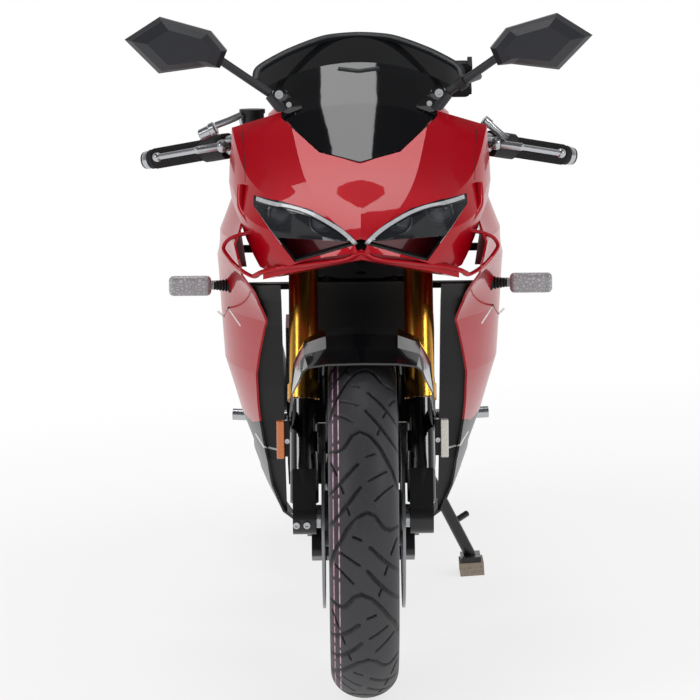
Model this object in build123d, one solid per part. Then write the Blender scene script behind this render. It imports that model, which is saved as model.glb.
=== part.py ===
from build123d import *
from math import atan2, cos, hypot, pi, radians, sin
import os

os.makedirs("parts", exist_ok=True)

# Sport bike: full fairing, twin slanted headlights, gold upside-down fork,
# parked on its side stand with a wooden block under the stand's foot.
# Millimetres. While it is drawn the bike stands upright: +X is the rider's
# left, the bike faces -Y, the front axle is at y = 0 and the ground at z = 0.
# At the end the whole bike leans towards its stand and moves so that the
# origin is the bottom centre of its bounding box.

# Chassis geometry
WHEELBASE = 1380.0
RAKE = 24.0
FORK_OFFSET = 32.0
FORK_SPREAD = 96.0
LEAN = 3.5

# Tyres and rims
RIM_RADIUS = 216.0
FRONT_TYRE_RADIUS = 293.0
FRONT_TYRE_WIDTH = 110.0
FRONT_RIM_WIDTH = 76.0
REAR_TYRE_RADIUS = 314.0
REAR_TYRE_WIDTH = 140.0
REAR_RIM_WIDTH = 102.0
TYRE_WALL = 9.0
BEAD_HEIGHT = 13.0
RIM_WALL = 5.0
RIM_LIP = 5.0
SPOKE_PAIRS = 5
SPOKE_SPLIT = 11.0

# Clearances
SEAT_GAP = 0.2
SOFT_GAP = 0.3
RUNNING_FIT = 0.05
CLAMP_FIT = 0.02

# Axles
AXLE_RADIUS = 10.0

# Front fork, measured along the legs from the axle
FORK_TUBE_RADIUS = 24.5
STANCHION_RADIUS = 18.5
FOOT_WIDTH = 38.0
FOOT_RADIUS = 26.0
FOOT_TOP = 78.0
SOCKET_FLOOR = 46.0
STANCHION_TOP = 330.0
FORK_TUBE_BOTTOM = 200.0
FORK_TUBE_TOP = 676.0
LOWER_YOKE_BOTTOM = 430.0
LOWER_YOKE_HEIGHT = 34.0
UPPER_YOKE_BOTTOM = 612.0
UPPER_YOKE_HEIGHT = 28.0
STEM_RADIUS = 15.0
HEAD_TUBE_RADIUS = 30.0
CLAMP_WALL = 8.0
CLIP_HEIGHT = 27.0

# Brakes
FRONT_DISC_RADIUS = 147.0
FRONT_DISC_PLACE = 62.5
REAR_DISC_RADIUS = 110.0
DISC_THICKNESS = 4.5
DISC_BAND = 34.0
DISC_ARMS = 6

# Final drive
CHAIN_PLACE = 92.0
CHAIN_WIDTH = 16.0
CHAIN_HEIGHT = 15.0
REAR_PITCH_RADIUS = 85.0
FRONT_PITCH_RADIUS = 34.0
TOOTH_TOP = 3.2
TOOTH_ROOT = 4.0

# Panels
PANEL = 3.5
SCREEN_THICKNESS = 3.0

# Side stand and its block
STAND_RAISED = 97.0
BLOCK_HEIGHT = 34.0
BLOCK_WIDTH = 46.0
BLOCK_DEPTH = 70.0

FORK_UP = Vector(0, sin(radians(RAKE)), cos(radians(RAKE)))
FORK_BACK = Vector(0, cos(radians(RAKE)), -sin(radians(RAKE)))
FRONT_AXLE = Vector(0, 0, FRONT_TYRE_RADIUS)
REAR_AXLE = Vector(0, WHEELBASE, REAR_TYRE_RADIUS)
TAIL_END = REAR_AXLE.Y + 120
STEERING_FOOT = FRONT_AXLE + FORK_BACK * FORK_OFFSET

nodes = {}


def mirrored(shape):
    """The same shape on the other side of the bike's centre plane."""
    return mirror(shape, about=Plane.YZ)


def both(shape):
    """A shape and its mirror image, as two solids of one node."""
    return [shape, mirrored(shape)]


def rod(start, end, radius):
    """A round bar from one point to another."""
    start = Vector(*start)
    run = Vector(*end) - start
    return Solid.make_cylinder(radius, run.length, Plane(origin=start, z_dir=run))


def cross_bar(centre, radius, x0, x1):
    """A round bar along X through a centre's y and z."""
    return rod((x0, centre.Y, centre.Z), (x1, centre.Y, centre.Z), radius)


def slab(outline, x0, x1):
    """A side-view outline, as (y, z) points, made as thick as x0 to x1."""
    face = make_face(Polyline([(x0, y, z) for y, z in outline], close=True))
    return extrude(face, amount=x1 - x0, dir=(1, 0, 0))


def front_prism(outline, y0, y1):
    """A front-view outline, as (x, z) points, made as deep as y0 to y1."""
    face = make_face(Polyline([(x, y0, z) for x, z in outline], close=True))
    return extrude(face, amount=y1 - y0, dir=(0, 1, 0))


def block(x0, x1, y0, y1, z0, z1):
    """A rectangular block between its faces."""
    return slab([(y0, z0), (y1, z0), (y1, z1), (y0, z1)], x0, x1)


def inward(points, wall):
    """An open outline's points moved to its right by a wall, mitred."""
    moved = []
    for i, (x, z) in enumerate(points):
        before = points[max(i - 1, 0)]
        after = points[min(i + 1, len(points) - 1)]
        sides = []
        for (ax, az), (bx, bz) in ((before, (x, z)), ((x, z), after)):
            run = hypot(bx - ax, bz - az)
            if run > 0:
                sides.append(((bz - az) / run, (ax - bx) / run))
        nx = sum(side[0] for side in sides) / len(sides)
        nz = sum(side[1] for side in sides) / len(sides)
        size = nx * nx + nz * nz
        moved.append((x + nx * wall / size, z + nz * wall / size))
    return moved


def skin(stations, wall, straight=False):
    """A thin panel lofted through sections, each (y, [(x, z), ...])."""
    faces = []
    for y, points in stations:
        under = inward(points, wall)
        for end in (0, -1):
            if points[end][0] == 0:
                under[end] = (0, under[end][1])
        ring = points + under[::-1]
        faces.append(make_face(Polyline([(x, y, z) for x, z in ring], close=True)))
    return loft(faces, ruled=straight)


def core(stations, wall):
    """The solid half inside a skin's surface, this deep under it."""
    faces = []
    for y, points in stations:
        under = inward(points, wall) if wall else list(points)
        top, bottom = under[0][1], under[-1][1]
        ring = [(0, top)] + [point for point in under if point[0] > 0.01] + [(0, bottom)]
        faces.append(make_face(Polyline([(x, y, z) for x, z in ring], close=True)))
    return loft(faces)


def hull(stations):
    """A solid lofted through closed half sections, mirrored to both sides."""
    faces = []
    for y, points in stations:
        ring = points + [(-x, z) for x, z in points[::-1] if x > 0]
        faces.append(make_face(Polyline([(x, y, z) for x, z in ring], close=True)))
    return loft(faces)


def fork_point(x, along):
    """A point on a fork leg's axis, this far up from the axle."""
    place = FRONT_AXLE + FORK_UP * along
    return Vector(x, place.Y, place.Z)


def fork_rod(x, start, end, radius):
    """A bar on a fork leg's axis between two places along it."""
    return rod(fork_point(x, start), fork_point(x, end), radius)


def stem_rod(start, end, radius):
    """A bar on the steering axis between two places along it."""
    return rod(STEERING_FOOT + FORK_UP * start, STEERING_FOOT + FORK_UP * end, radius)


# Wheels


def tyre(axle, radius, width, rim_width):
    """A hollow road tyre with a round crown, seated on its rim."""
    half = width / 2
    bead = rim_width / 2 - SEAT_GAP
    low = RIM_RADIUS + SEAT_GAP
    high = RIM_RADIUS + BEAD_HEIGHT
    wide = radius - 0.94 * half
    inner = half - TYRE_WALL

    def at(x, r):
        return (x, axle.Y, axle.Z + r)

    edges = [
        ThreePointArc(at(-half, wide), at(0, radius), at(half, wide)),
        Line(at(half, wide), at(bead, high)),
        Line(at(bead, high), at(bead, low)),
        Line(at(bead, low), at(bead - TYRE_WALL, low)),
        Line(at(bead - TYRE_WALL, low), at(bead - TYRE_WALL, high)),
        Line(at(bead - TYRE_WALL, high), at(inner, wide)),
        ThreePointArc(at(inner, wide), at(0, radius - TYRE_WALL), at(-inner, wide)),
        Line(at(-inner, wide), at(TYRE_WALL - bead, high)),
        Line(at(TYRE_WALL - bead, high), at(TYRE_WALL - bead, low)),
        Line(at(TYRE_WALL - bead, low), at(-bead, low)),
        Line(at(-bead, low), at(-bead, high)),
        Line(at(-bead, high), at(-half, wide)),
    ]
    return revolve(make_face(edges), Axis(tuple(axle), (1, 0, 0)))


def rim(axle, rim_width, hub_ends, hub_radius, flanges):
    """A cast wheel: barrel with lips, paired spokes and a bored hub."""
    half = rim_width / 2
    seat = 14.0
    well = 20.0
    profile = [
        (half + RIM_LIP, RIM_RADIUS - 8),
        (half + RIM_LIP, RIM_RADIUS + 11),
        (half, RIM_RADIUS + 11),
        (half, RIM_RADIUS),
        (half - seat, RIM_RADIUS),
        (half - seat - 8, RIM_RADIUS - well),
    ]
    under = [
        (half - seat - 11, RIM_RADIUS - well - RIM_WALL),
        (half - seat - 2, RIM_RADIUS - 8),
    ]
    ring = profile + [(-x, r) for x, r in profile[::-1]]
    ring += [(-x, r) for x, r in under[::-1]] + under
    points = [(x, axle.Y, axle.Z + r) for x, r in ring]
    barrel = revolve(make_face(Polyline(points, close=True)), Axis(tuple(axle), (1, 0, 0)))
    wheel = barrel + cross_bar(axle, hub_radius, hub_ends[0], hub_ends[1])
    for x0, x1, radius in flanges:
        wheel += cross_bar(axle, radius, x0, x1)
    root, tip = hub_radius - 6, RIM_RADIUS - well - 2
    for pair in range(SPOKE_PAIRS):
        for side in (-1, 1):
            turn = 360 / SPOKE_PAIRS * pair
            spoke = loft([
                Plane(origin=(0, 0, root), z_dir=(0, 0, 1)) * Rectangle(34, 15),
                Plane(origin=(0, side * tip * sin(radians(SPOKE_SPLIT)), tip)) * Rectangle(24, 12),
            ])
            wheel += Pos(*axle) * Rot(turn, 0, 0) * spoke
    return wheel - cross_bar(axle, AXLE_RADIUS + RUNNING_FIT, hub_ends[0] - 1, hub_ends[1] + 1)


def brake_disc(axle, x0, radius, hub_hole, bolt_ring):
    """A brake disc with its band, arms and mounting ring."""
    x1 = x0 + DISC_THICKNESS
    disc = cross_bar(axle, radius, x0, x1) - cross_bar(axle, radius - DISC_BAND, x0, x1)
    disc += cross_bar(axle, bolt_ring, x0, x1)
    for arm in range(DISC_ARMS):
        bar = Pos((x0 + x1) / 2, 0, (bolt_ring + radius - DISC_BAND) / 2)
        bar = bar * Box(DISC_THICKNESS, 22, radius - DISC_BAND - bolt_ring + 12)
        disc += Pos(*Vector(0, axle.Y, axle.Z)) * Rot(360 / DISC_ARMS * arm, 0, 0) * bar
    return disc - cross_bar(axle, hub_hole, x0 - 1, x1 + 1)


FRONT_HUB_END = FRONT_DISC_PLACE + DISC_THICKNESS + 1.0
HUB_NOSE = 20.0
DISC_SEAT_RADIUS = 46.0

nodes["front_tyre"] = tyre(FRONT_AXLE, FRONT_TYRE_RADIUS, FRONT_TYRE_WIDTH, FRONT_RIM_WIDTH)
nodes["front_rim"] = rim(
    FRONT_AXLE, FRONT_RIM_WIDTH, (-FRONT_HUB_END, FRONT_HUB_END), HUB_NOSE,
    [(-FRONT_DISC_PLACE, -FRONT_DISC_PLACE + 10, DISC_SEAT_RADIUS),
     (FRONT_DISC_PLACE - 10, FRONT_DISC_PLACE, DISC_SEAT_RADIUS),
     (-FRONT_DISC_PLACE, FRONT_DISC_PLACE, HUB_NOSE + 8)])
nodes["front_discs"] = both(
    brake_disc(FRONT_AXLE, FRONT_DISC_PLACE, FRONT_DISC_RADIUS, HUB_NOSE + SEAT_GAP, DISC_SEAT_RADIUS))

REAR_DISC_PLACE = 66.0
SPROCKET_PLACE = CHAIN_PLACE - 3.5
REAR_HUB_RIGHT = REAR_DISC_PLACE + DISC_THICKNESS + 1.0
REAR_HUB_LEFT = SPROCKET_PLACE + 8.0

nodes["rear_tyre"] = tyre(REAR_AXLE, REAR_TYRE_RADIUS, REAR_TYRE_WIDTH, REAR_RIM_WIDTH)
nodes["rear_rim"] = rim(
    REAR_AXLE, REAR_RIM_WIDTH, (-REAR_HUB_RIGHT, REAR_HUB_LEFT), HUB_NOSE,
    [(-REAR_DISC_PLACE, -REAR_DISC_PLACE + 10, DISC_SEAT_RADIUS),
     (-REAR_DISC_PLACE, 40, HUB_NOSE + 10),
     (40, SPROCKET_PLACE, DISC_SEAT_RADIUS + 8)])
nodes["rear_disc"] = brake_disc(
    REAR_AXLE, -REAR_DISC_PLACE - DISC_THICKNESS, REAR_DISC_RADIUS, HUB_NOSE + SEAT_GAP, DISC_SEAT_RADIUS)

SPROCKET_TEETH = 43
SPROCKET_THICKNESS = 7.0


def sprocket():
    """The rear sprocket with its teeth and lightening windows."""
    x0, x1 = SPROCKET_PLACE, SPROCKET_PLACE + SPROCKET_THICKNESS
    root = REAR_PITCH_RADIUS - TOOTH_ROOT
    tip = REAR_PITCH_RADIUS + TOOTH_TOP
    points = []
    for tooth in range(SPROCKET_TEETH):
        start = 2 * pi * tooth / SPROCKET_TEETH
        step = 2 * pi / SPROCKET_TEETH
        for part, radius in ((0.0, root), (0.35, root), (0.55, tip),
                             (0.8, tip)):
            angle = start + part * step
            points.append((REAR_AXLE.Y + radius * sin(angle), REAR_AXLE.Z + radius * cos(angle)))
    plate = slab(points, x0, x1) - cross_bar(REAR_AXLE, HUB_NOSE + SEAT_GAP, x0 - 1, x1 + 1)
    for window in range(6):
        hole = Pos((x0 + x1) / 2, 0, 62) * Rot(0, 90, 0) * Cylinder(13, 20)
        plate -= Pos(0, REAR_AXLE.Y, REAR_AXLE.Z) * Rot(60 * window, 0, 0) * hole
    return plate


nodes["rear_sprocket"] = sprocket()

# Front axle and fork

FOOT_INNER = FORK_SPREAD - FOOT_WIDTH / 2
FOOT_OUTER = FORK_SPREAD + FOOT_WIDTH / 2
COLLAR_RADIUS = 12.0


def front_axle():
    """The front axle with the collars that space the wheel."""
    axle = cross_bar(FRONT_AXLE, AXLE_RADIUS, -FOOT_OUTER, FOOT_OUTER)
    for side in (-1, 1):
        ends = sorted((side * (FRONT_HUB_END + SOFT_GAP), side * FOOT_INNER))
        axle += cross_bar(FRONT_AXLE, COLLAR_RADIUS, *ends)
    return axle


def fork_foot():
    """The left axle clamp, with the socket that takes the stanchion."""
    lower = FRONT_AXLE
    upper = fork_point(FORK_SPREAD, FOOT_TOP)
    back = FORK_BACK * 25
    foot = cross_bar(lower, FOOT_RADIUS, FOOT_INNER, FOOT_OUTER)
    web = [
        (lower.Y - back.Y, lower.Z - back.Z), (lower.Y + back.Y, lower.Z + back.Z),
        (upper.Y + back.Y * 0.9, upper.Z + back.Z * 0.9),
        (upper.Y - back.Y * 0.9, upper.Z - back.Z * 0.9),
    ]
    foot += slab(web, FOOT_INNER, FOOT_OUTER)
    foot += fork_rod(FORK_SPREAD, SOCKET_FLOOR - 18, FOOT_TOP, FORK_TUBE_RADIUS - 1)
    foot -= fork_rod(FORK_SPREAD, SOCKET_FLOOR, FOOT_TOP + 1, STANCHION_RADIUS + CLAMP_FIT)
    return foot - cross_bar(lower, AXLE_RADIUS + CLAMP_FIT, FOOT_INNER - 1, FOOT_OUTER + 1)


def fork_tube():
    """The left gold outer tube, hollow where the stanchion slides."""
    tube = fork_rod(FORK_SPREAD, FORK_TUBE_BOTTOM, FORK_TUBE_TOP, FORK_TUBE_RADIUS)
    tube += fork_rod(FORK_SPREAD, FORK_TUBE_BOTTOM, FORK_TUBE_BOTTOM + 26, FORK_TUBE_RADIUS + 3)
    return tube - fork_rod(
        FORK_SPREAD, FORK_TUBE_BOTTOM - 1, STANCHION_TOP + 4, STANCHION_RADIUS + CLAMP_FIT)


def yoke(bottom, height, stem_hole):
    """A fork yoke plate with its two clamps, square to the steering axis."""
    base = Plane(origin=STEERING_FOOT + FORK_UP * bottom, x_dir=(1, 0, 0), z_dir=FORK_UP)
    clamp = FORK_TUBE_RADIUS + CLAMP_WALL
    outline = [
        (-FORK_SPREAD, -FORK_OFFSET - 24), (FORK_SPREAD, -FORK_OFFSET - 24),
        (FORK_SPREAD, -FORK_OFFSET + 24), (34, 30), (-34, 30), (-FORK_SPREAD, -FORK_OFFSET + 24),
    ]
    plate = extrude(base * make_face(Polyline(outline, close=True)), amount=height)
    for x in (-FORK_SPREAD, FORK_SPREAD):
        plate += fork_rod(x, bottom, bottom + height, clamp)
    for x in (-FORK_SPREAD, FORK_SPREAD):
        plate -= fork_rod(x, bottom - 1, bottom + height + 1, FORK_TUBE_RADIUS + CLAMP_FIT)
    if stem_hole:
        plate -= stem_rod(bottom - 1, bottom + height + 1, STEM_RADIUS + CLAMP_FIT)
    return plate


nodes["front_axle"] = front_axle()
nodes["fork_feet"] = both(fork_foot())
nodes["fork_stanchions"] = both(fork_rod(FORK_SPREAD, SOCKET_FLOOR, STANCHION_TOP, STANCHION_RADIUS))
nodes["fork_tubes"] = both(fork_tube())

HEAD_BOTTOM = LOWER_YOKE_BOTTOM + LOWER_YOKE_HEIGHT + 0.5
HEAD_TOP = UPPER_YOKE_BOTTOM - 0.5
STEM_TOP = UPPER_YOKE_BOTTOM + UPPER_YOKE_HEIGHT
STEM_BORE = 9.0

lower_yoke = yoke(LOWER_YOKE_BOTTOM, LOWER_YOKE_HEIGHT, False)
lower_yoke += stem_rod(LOWER_YOKE_BOTTOM, STEM_TOP, STEM_RADIUS)
nodes["lower_yoke"] = lower_yoke - stem_rod(LOWER_YOKE_BOTTOM - 1, STEM_TOP + 1, STEM_BORE)
upper_yoke = yoke(UPPER_YOKE_BOTTOM, UPPER_YOKE_HEIGHT, True)
nodes["upper_yoke"] = upper_yoke

# Handlebars

CLIP_BOTTOM = STEM_TOP + 6.0
BAR_RADIUS = 11.0
GRIP_RADIUS = 17.0
GRIP_LENGTH = 122.0
BAR_ROOT = Vector(126, 276, 900)
BAR_TIP = Vector(362, 432, 850)
BAR_RUN = BAR_TIP - BAR_ROOT
BAR_WAY = BAR_RUN.normalized()


def bar_point(back_from_tip):
    """A point on the left bar's axis, measured back from its end."""
    return BAR_TIP - BAR_WAY * back_from_tip


def handlebar():
    """The left clip-on: its clamp round the fork tube, arm and bar."""
    ring = fork_rod(FORK_SPREAD, CLIP_BOTTOM, CLIP_BOTTOM + CLIP_HEIGHT, FORK_TUBE_RADIUS + CLAMP_WALL)
    root = fork_point(FORK_SPREAD, CLIP_BOTTOM + CLIP_HEIGHT / 2)
    bar = ring + rod(root, BAR_ROOT + BAR_WAY * 26, BAR_RADIUS + 2)
    bar += rod(BAR_ROOT, bar_point(GRIP_LENGTH + SEAT_GAP), BAR_RADIUS)
    bar += rod(bar_point(GRIP_LENGTH + SEAT_GAP), bar_point(0), BAR_RADIUS - 1)
    bar += rod(bar_point(0), bar_point(-14), GRIP_RADIUS - 2)
    hole = fork_rod(
        FORK_SPREAD, CLIP_BOTTOM - 30, CLIP_BOTTOM + CLIP_HEIGHT + 30, FORK_TUBE_RADIUS + CLAMP_FIT)
    return bar - hole


def grip():
    """The left grip, a rubber sleeve with a flange at its inner end."""
    sleeve = rod(bar_point(GRIP_LENGTH), bar_point(SEAT_GAP), GRIP_RADIUS)
    sleeve += rod(bar_point(GRIP_LENGTH), bar_point(GRIP_LENGTH - 5), GRIP_RADIUS + 4)
    return sleeve - rod(bar_point(GRIP_LENGTH + 1), bar_point(-1), BAR_RADIUS - 1 + CLAMP_FIT)


SWITCH_LENGTH = 42.0
SWITCH_RADIUS = 22.0
PERCH_LENGTH = 26.0
SWITCH_INNER = GRIP_LENGTH + 1 + SWITCH_LENGTH
PERCH_INNER = SWITCH_INNER + 4 + PERCH_LENGTH


def switch_housing():
    """The left switch housing, clamped round the bar beside the grip."""
    outer = bar_point(GRIP_LENGTH + 1)
    inner = bar_point(SWITCH_INNER)
    plane = Plane(origin=inner, z_dir=outer - inner, x_dir=(0, 0, 1))
    shell = extrude(plane * RectangleRounded(2 * SWITCH_RADIUS, 40, 12), amount=SWITCH_LENGTH)
    return shell - rod(bar_point(SWITCH_INNER + 1), bar_point(GRIP_LENGTH), BAR_RADIUS + CLAMP_FIT)


LEVER_AHEAD = Vector(0.54, -0.84, 0.0) * 62.0
LEVER_PIVOT = bar_point(PERCH_INNER - PERCH_LENGTH / 2) + LEVER_AHEAD * 0.62


def control_lever():
    """The left lever: its perch on the bar, pivot and blade to a ball end."""
    outer = bar_point(PERCH_INNER - PERCH_LENGTH)
    inner = bar_point(PERCH_INNER)
    perch = rod(inner, outer, BAR_RADIUS + 6)
    middle = (outer + inner) * 0.5
    perch += rod(middle, LEVER_PIVOT, 10)
    knee = bar_point(GRIP_LENGTH + 24) + LEVER_AHEAD
    tip = bar_point(58) + LEVER_AHEAD
    lever = perch + rod(LEVER_PIVOT, knee, 6.5) + rod(knee, tip, 5)
    lever += Pos(*tip) * Sphere(8) + Pos(*knee) * Sphere(6.5)
    lever += Pos(*LEVER_PIVOT) * Sphere(11)
    return lever - rod(bar_point(PERCH_INNER + 1), bar_point(SWITCH_INNER - 1), BAR_RADIUS + CLAMP_FIT)


nodes["handlebars"] = both(handlebar())
nodes["grips"] = both(grip())
nodes["switch_housings"] = both(switch_housing())
nodes["control_levers"] = both(control_lever())

RESERVOIR_FOOT = bar_point(PERCH_INNER + 24)


def brake_reservoir():
    """The fluid cup on its bracket, on the right bar."""
    foot = Vector(-RESERVOIR_FOOT.X, RESERVOIR_FOOT.Y, RESERVOIR_FOOT.Z)
    cup_foot = foot + Vector(0, 3, 21)
    cup = rod(cup_foot, cup_foot + Vector(0, 0, 27), 20)
    cup += rod(cup_foot + Vector(0, 0, 27), cup_foot + Vector(0, 0, 34), 22)
    way = Vector(-BAR_WAY.X, BAR_WAY.Y, BAR_WAY.Z)
    clamp = rod(foot - way * 6, foot + way * 6, BAR_RADIUS + 5)
    arm = rod(foot + Vector(0, 0, 4), cup_foot + Vector(0, 0, 6), 7)
    return clamp + arm + cup - rod(foot - way * 30, foot + way * 30, BAR_RADIUS + CLAMP_FIT)


nodes["brake_reservoir"] = brake_reservoir()

# Front fender with its fork guards

FENDER_GAP = 16.0
FENDER_WALL = 3.0
FENDER_OUTER = FRONT_TYRE_RADIUS + FENDER_GAP + FENDER_WALL
FENDER_HALF = 62.0
FENDER_BACK = 78.0
FENDER_SWEEP = 80.0
GUARD_BOTTOM = FOOT_TOP + SEAT_GAP
WEB_BOTTOM = FRONT_DISC_RADIUS + 12.0
WEB_TOP = FENDER_OUTER - 50.0
GUARD_TOP = FORK_TUBE_BOTTOM - 2.0
GUARD_INNER = STANCHION_RADIUS + 2.0
GUARD_WALL = 3.0
# y, then the hood's half section from its crest to its lower side edge
HOOD_STATIONS = [
    (-152, [(0, 571), (55, 570), (86, 566), (96, 558), (100, 546)]),
    (-104, [(0, 590), (57, 588), (92, 578), (107, 556), (113, 516)]),
    (-50, [(0, 604), (58, 601), (94, 588), (111, 556), (118.5, 470)]),
    (0, [(0, 610), (58, 606), (92, 590), (111, 552), (119, 436)]),
    (28, [(0, 608), (58, 604), (88, 588), (109, 552), (119, 432)]),
]


def front_fender():
    """The arch over the tyre, the wide hood ahead of the legs, the leg guards."""
    section = [
        (0, FENDER_OUTER), (24, FENDER_OUTER - 3), (48, FENDER_OUTER - 12),
        (FENDER_HALF, FENDER_OUTER - 32), (FENDER_HALF + 3, FENDER_OUTER - 74),
    ]
    under = inward(section, FENDER_WALL)
    under[0] = (0, FENDER_OUTER - FENDER_WALL)
    ring = [(x, FRONT_AXLE.Y, FRONT_AXLE.Z + r) for x, r in section + under[::-1]]
    axis = Axis(tuple(FRONT_AXLE), (1, 0, 0))
    half = revolve(make_face(Polyline(ring, close=True)), axis, FENDER_SWEEP)
    half = Pos(*FRONT_AXLE) * Rot(-FENDER_BACK, 0, 0) * Pos(*(FRONT_AXLE * -1)) * half
    guard = fork_rod(FORK_SPREAD, GUARD_BOTTOM, GUARD_TOP, GUARD_INNER + GUARD_WALL)
    guard -= fork_rod(FORK_SPREAD, GUARD_BOTTOM - 1, GUARD_TOP + 1, GUARD_INNER)
    leg = Plane(origin=fork_point(FORK_SPREAD, GUARD_BOTTOM), x_dir=(1, 0, 0), z_dir=FORK_UP)
    length = GUARD_TOP - GUARD_BOTTOM
    rear = extrude(leg * Pos(0, GUARD_INNER + 8) * Rectangle(60, GUARD_INNER * 2), amount=length)
    guard -= rear
    reach = FORK_SPREAD - GUARD_INNER - FENDER_HALF
    web = leg * Pos(-GUARD_INNER - reach / 2, -GUARD_INNER * 0.45) * Rectangle(reach + 4, GUARD_WALL)
    web = extrude(web, amount=WEB_TOP - GUARD_BOTTOM) & fork_rod(FORK_SPREAD, WEB_BOTTOM, WEB_TOP, 80)
    web -= fork_rod(FORK_SPREAD, GUARD_TOP, WEB_TOP + 1, FORK_TUBE_RADIUS + 3 + SEAT_GAP)
    y, low = HOOD_STATIONS[-1][0], HOOD_STATIONS[-1][1][-1]
    bridge = block(low[0] - GUARD_WALL, low[0], y - 2, y + 22, low[1] + 2, low[1] + 34)
    side = half + guard + web + skin(HOOD_STATIONS, GUARD_WALL, straight=True)
    side += bridge - fork_rod(FORK_SPREAD, FOOT_TOP, GUARD_TOP + 1, GUARD_INNER)
    side -= fork_rod(FORK_SPREAD, GUARD_TOP, FORK_TUBE_TOP, FORK_TUBE_RADIUS + SEAT_GAP)
    return side + mirrored(side)


nodes["front_fender"] = front_fender()

CALIPER_RADIUS = 128.0
CALIPER_TURN = -112.0
CALIPER_OUTER = FRONT_DISC_PLACE + DISC_THICKNESS + 19.0


def front_caliper():
    """The left caliper, straddling the disc behind the fork leg."""
    middle = FRONT_DISC_PLACE + DISC_THICKNESS / 2
    body = Pos(middle, 0, CALIPER_RADIUS) * Box(2 * (CALIPER_OUTER - middle), 88, 60)
    body = fillet(body.edges().filter_by(Axis.X), 12)
    slot = FRONT_DISC_RADIUS + 3
    body -= Pos(middle, 0, slot - 50) * Box(DISC_THICKNESS + 3, 110, 100)
    body = Rot(CALIPER_TURN, 0, 0) * body
    ear = slab([(18, -14), (30, 20), (96, -10), (90, -48)], CALIPER_OUTER - 1, CALIPER_OUTER + 7)
    return Pos(*FRONT_AXLE) * (body + ear) - fork_foot()


nodes["front_calipers"] = both(front_caliper())

# Main frame

PIVOT = Vector(0, 830, 392)
PIVOT_RADIUS = 22.0
PLATE_INNER = 104.0
PLATE_OUTER = 126.0
STAND_PIVOT = Vector(112, 838, 208)
STAND_AXIS = Vector(0.948, 0, 0.318).normalized()


def main_frame():
    """Head tube, two spars, pivot plates, the shock's cross tube, stand lug."""
    spar = [
        (262, [(8, 742), (26, 742), (26, 806), (8, 806)]),
        (430, [(88, 650), (108, 650), (108, 738), (88, 738)]),
        (620, [(PLATE_INNER, 572), (122, 572), (122, 655), (PLATE_INNER, 655)]),
        (790, [(PLATE_INNER, 372), (PLATE_OUTER, 372), (PLATE_OUTER, 612), (PLATE_INNER, 612)]),
        (868, [(PLATE_INNER, 356), (PLATE_OUTER, 356), (PLATE_OUTER, 560), (PLATE_INNER, 560)]),
    ]
    faces = [make_face(Polyline([(x, y, z) for x, z in ring], close=True)) for y, ring in spar]
    side = loft(faces, ruled=True)
    side -= stem_rod(HEAD_BOTTOM - 1, HEAD_TOP + 1, HEAD_TUBE_RADIUS)
    eye_y, eye_z = STAND_PIVOT.Y, STAND_PIVOT.Z
    lug = slab([(800, 365), (866, 358), (eye_y + 25, eye_z + 27), (eye_y + 22, eye_z - 20),
                (eye_y - 15, eye_z - 22), (eye_y - 32, eye_z + 32)], PLATE_INNER, STAND_PIVOT.X - 2)
    side -= cross_bar(PIVOT, 10 + CLAMP_FIT, -200, 200)
    left = side + lug - rod(STAND_PIVOT - STAND_AXIS * 40, STAND_PIVOT + STAND_AXIS * 40, 6)
    head = stem_rod(HEAD_BOTTOM, HEAD_TOP, HEAD_TUBE_RADIUS)
    head -= stem_rod(HEAD_BOTTOM - 1, HEAD_TOP + 1, STEM_RADIUS + RUNNING_FIT)
    cross = cross_bar(Vector(0, 850, 585), 13, -PLATE_INNER, PLATE_INNER)
    return left, mirrored(side), head, cross


left_spar, right_spar, head_tube, shock_tube = main_frame()

# Engine and radiator

SPROCKET_CENTRE = Vector(0, 764, 400)
CASES_HALF = 132.0


def engine_block():
    """The twin's cases, its forward-leaning cylinders and output sprocket."""
    cases = slab([(470, 300), (540, 250), (700, 250), (715, 300), (715, 460), (600, 476),
                  (480, 440), (452, 350)], -CASES_HALF, CASES_HALF)
    cylinders = slab([(470, 430), (640, 470), (570, 668), (432, 640)], -76, 76)
    gearbox = slab([(700, 250), (770, 262), (792, 320), (792, 440), (765, 470), (700, 465)], -98, 78)
    shaft = cross_bar(SPROCKET_CENTRE, 12, 78, SPROCKET_PLACE + SPROCKET_THICKNESS + 3)
    wheel = cross_bar(SPROCKET_CENTRE, FRONT_PITCH_RADIUS + TOOTH_TOP, SPROCKET_PLACE,
                      SPROCKET_PLACE + SPROCKET_THICKNESS)
    return cases + cylinders + gearbox + shaft + wheel


nodes["engine_block"] = engine_block()
radiator_core = slab([(342, 430), (378, 426), (352, 640), (316, 644)], -118, 118)

# Chain


def loop_face(grow, x):
    """The area inside a belt line round both sprockets, grown outwards."""
    near, far = SPROCKET_CENTRE, REAR_AXLE
    low, high = FRONT_PITCH_RADIUS + grow, REAR_PITCH_RADIUS + grow
    run = hypot(far.Y - near.Y, far.Z - near.Z)
    along = atan2(far.Z - near.Z, far.Y - near.Y)
    lift = pi / 2 + (REAR_PITCH_RADIUS - FRONT_PITCH_RADIUS) / run

    def at(centre, radius, angle):
        return (x, centre.Y + radius * cos(angle), centre.Z + radius * sin(angle))

    up, down = along + lift, along - lift
    edges = [
        Line(at(near, low, up), at(far, high, up)),
        ThreePointArc(at(far, high, up), at(far, high, along), at(far, high, down)),
        Line(at(far, high, down), at(near, low, down)),
        ThreePointArc(at(near, low, down), at(near, low, along + pi), at(near, low, up)),
    ]
    return make_face(edges)


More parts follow.
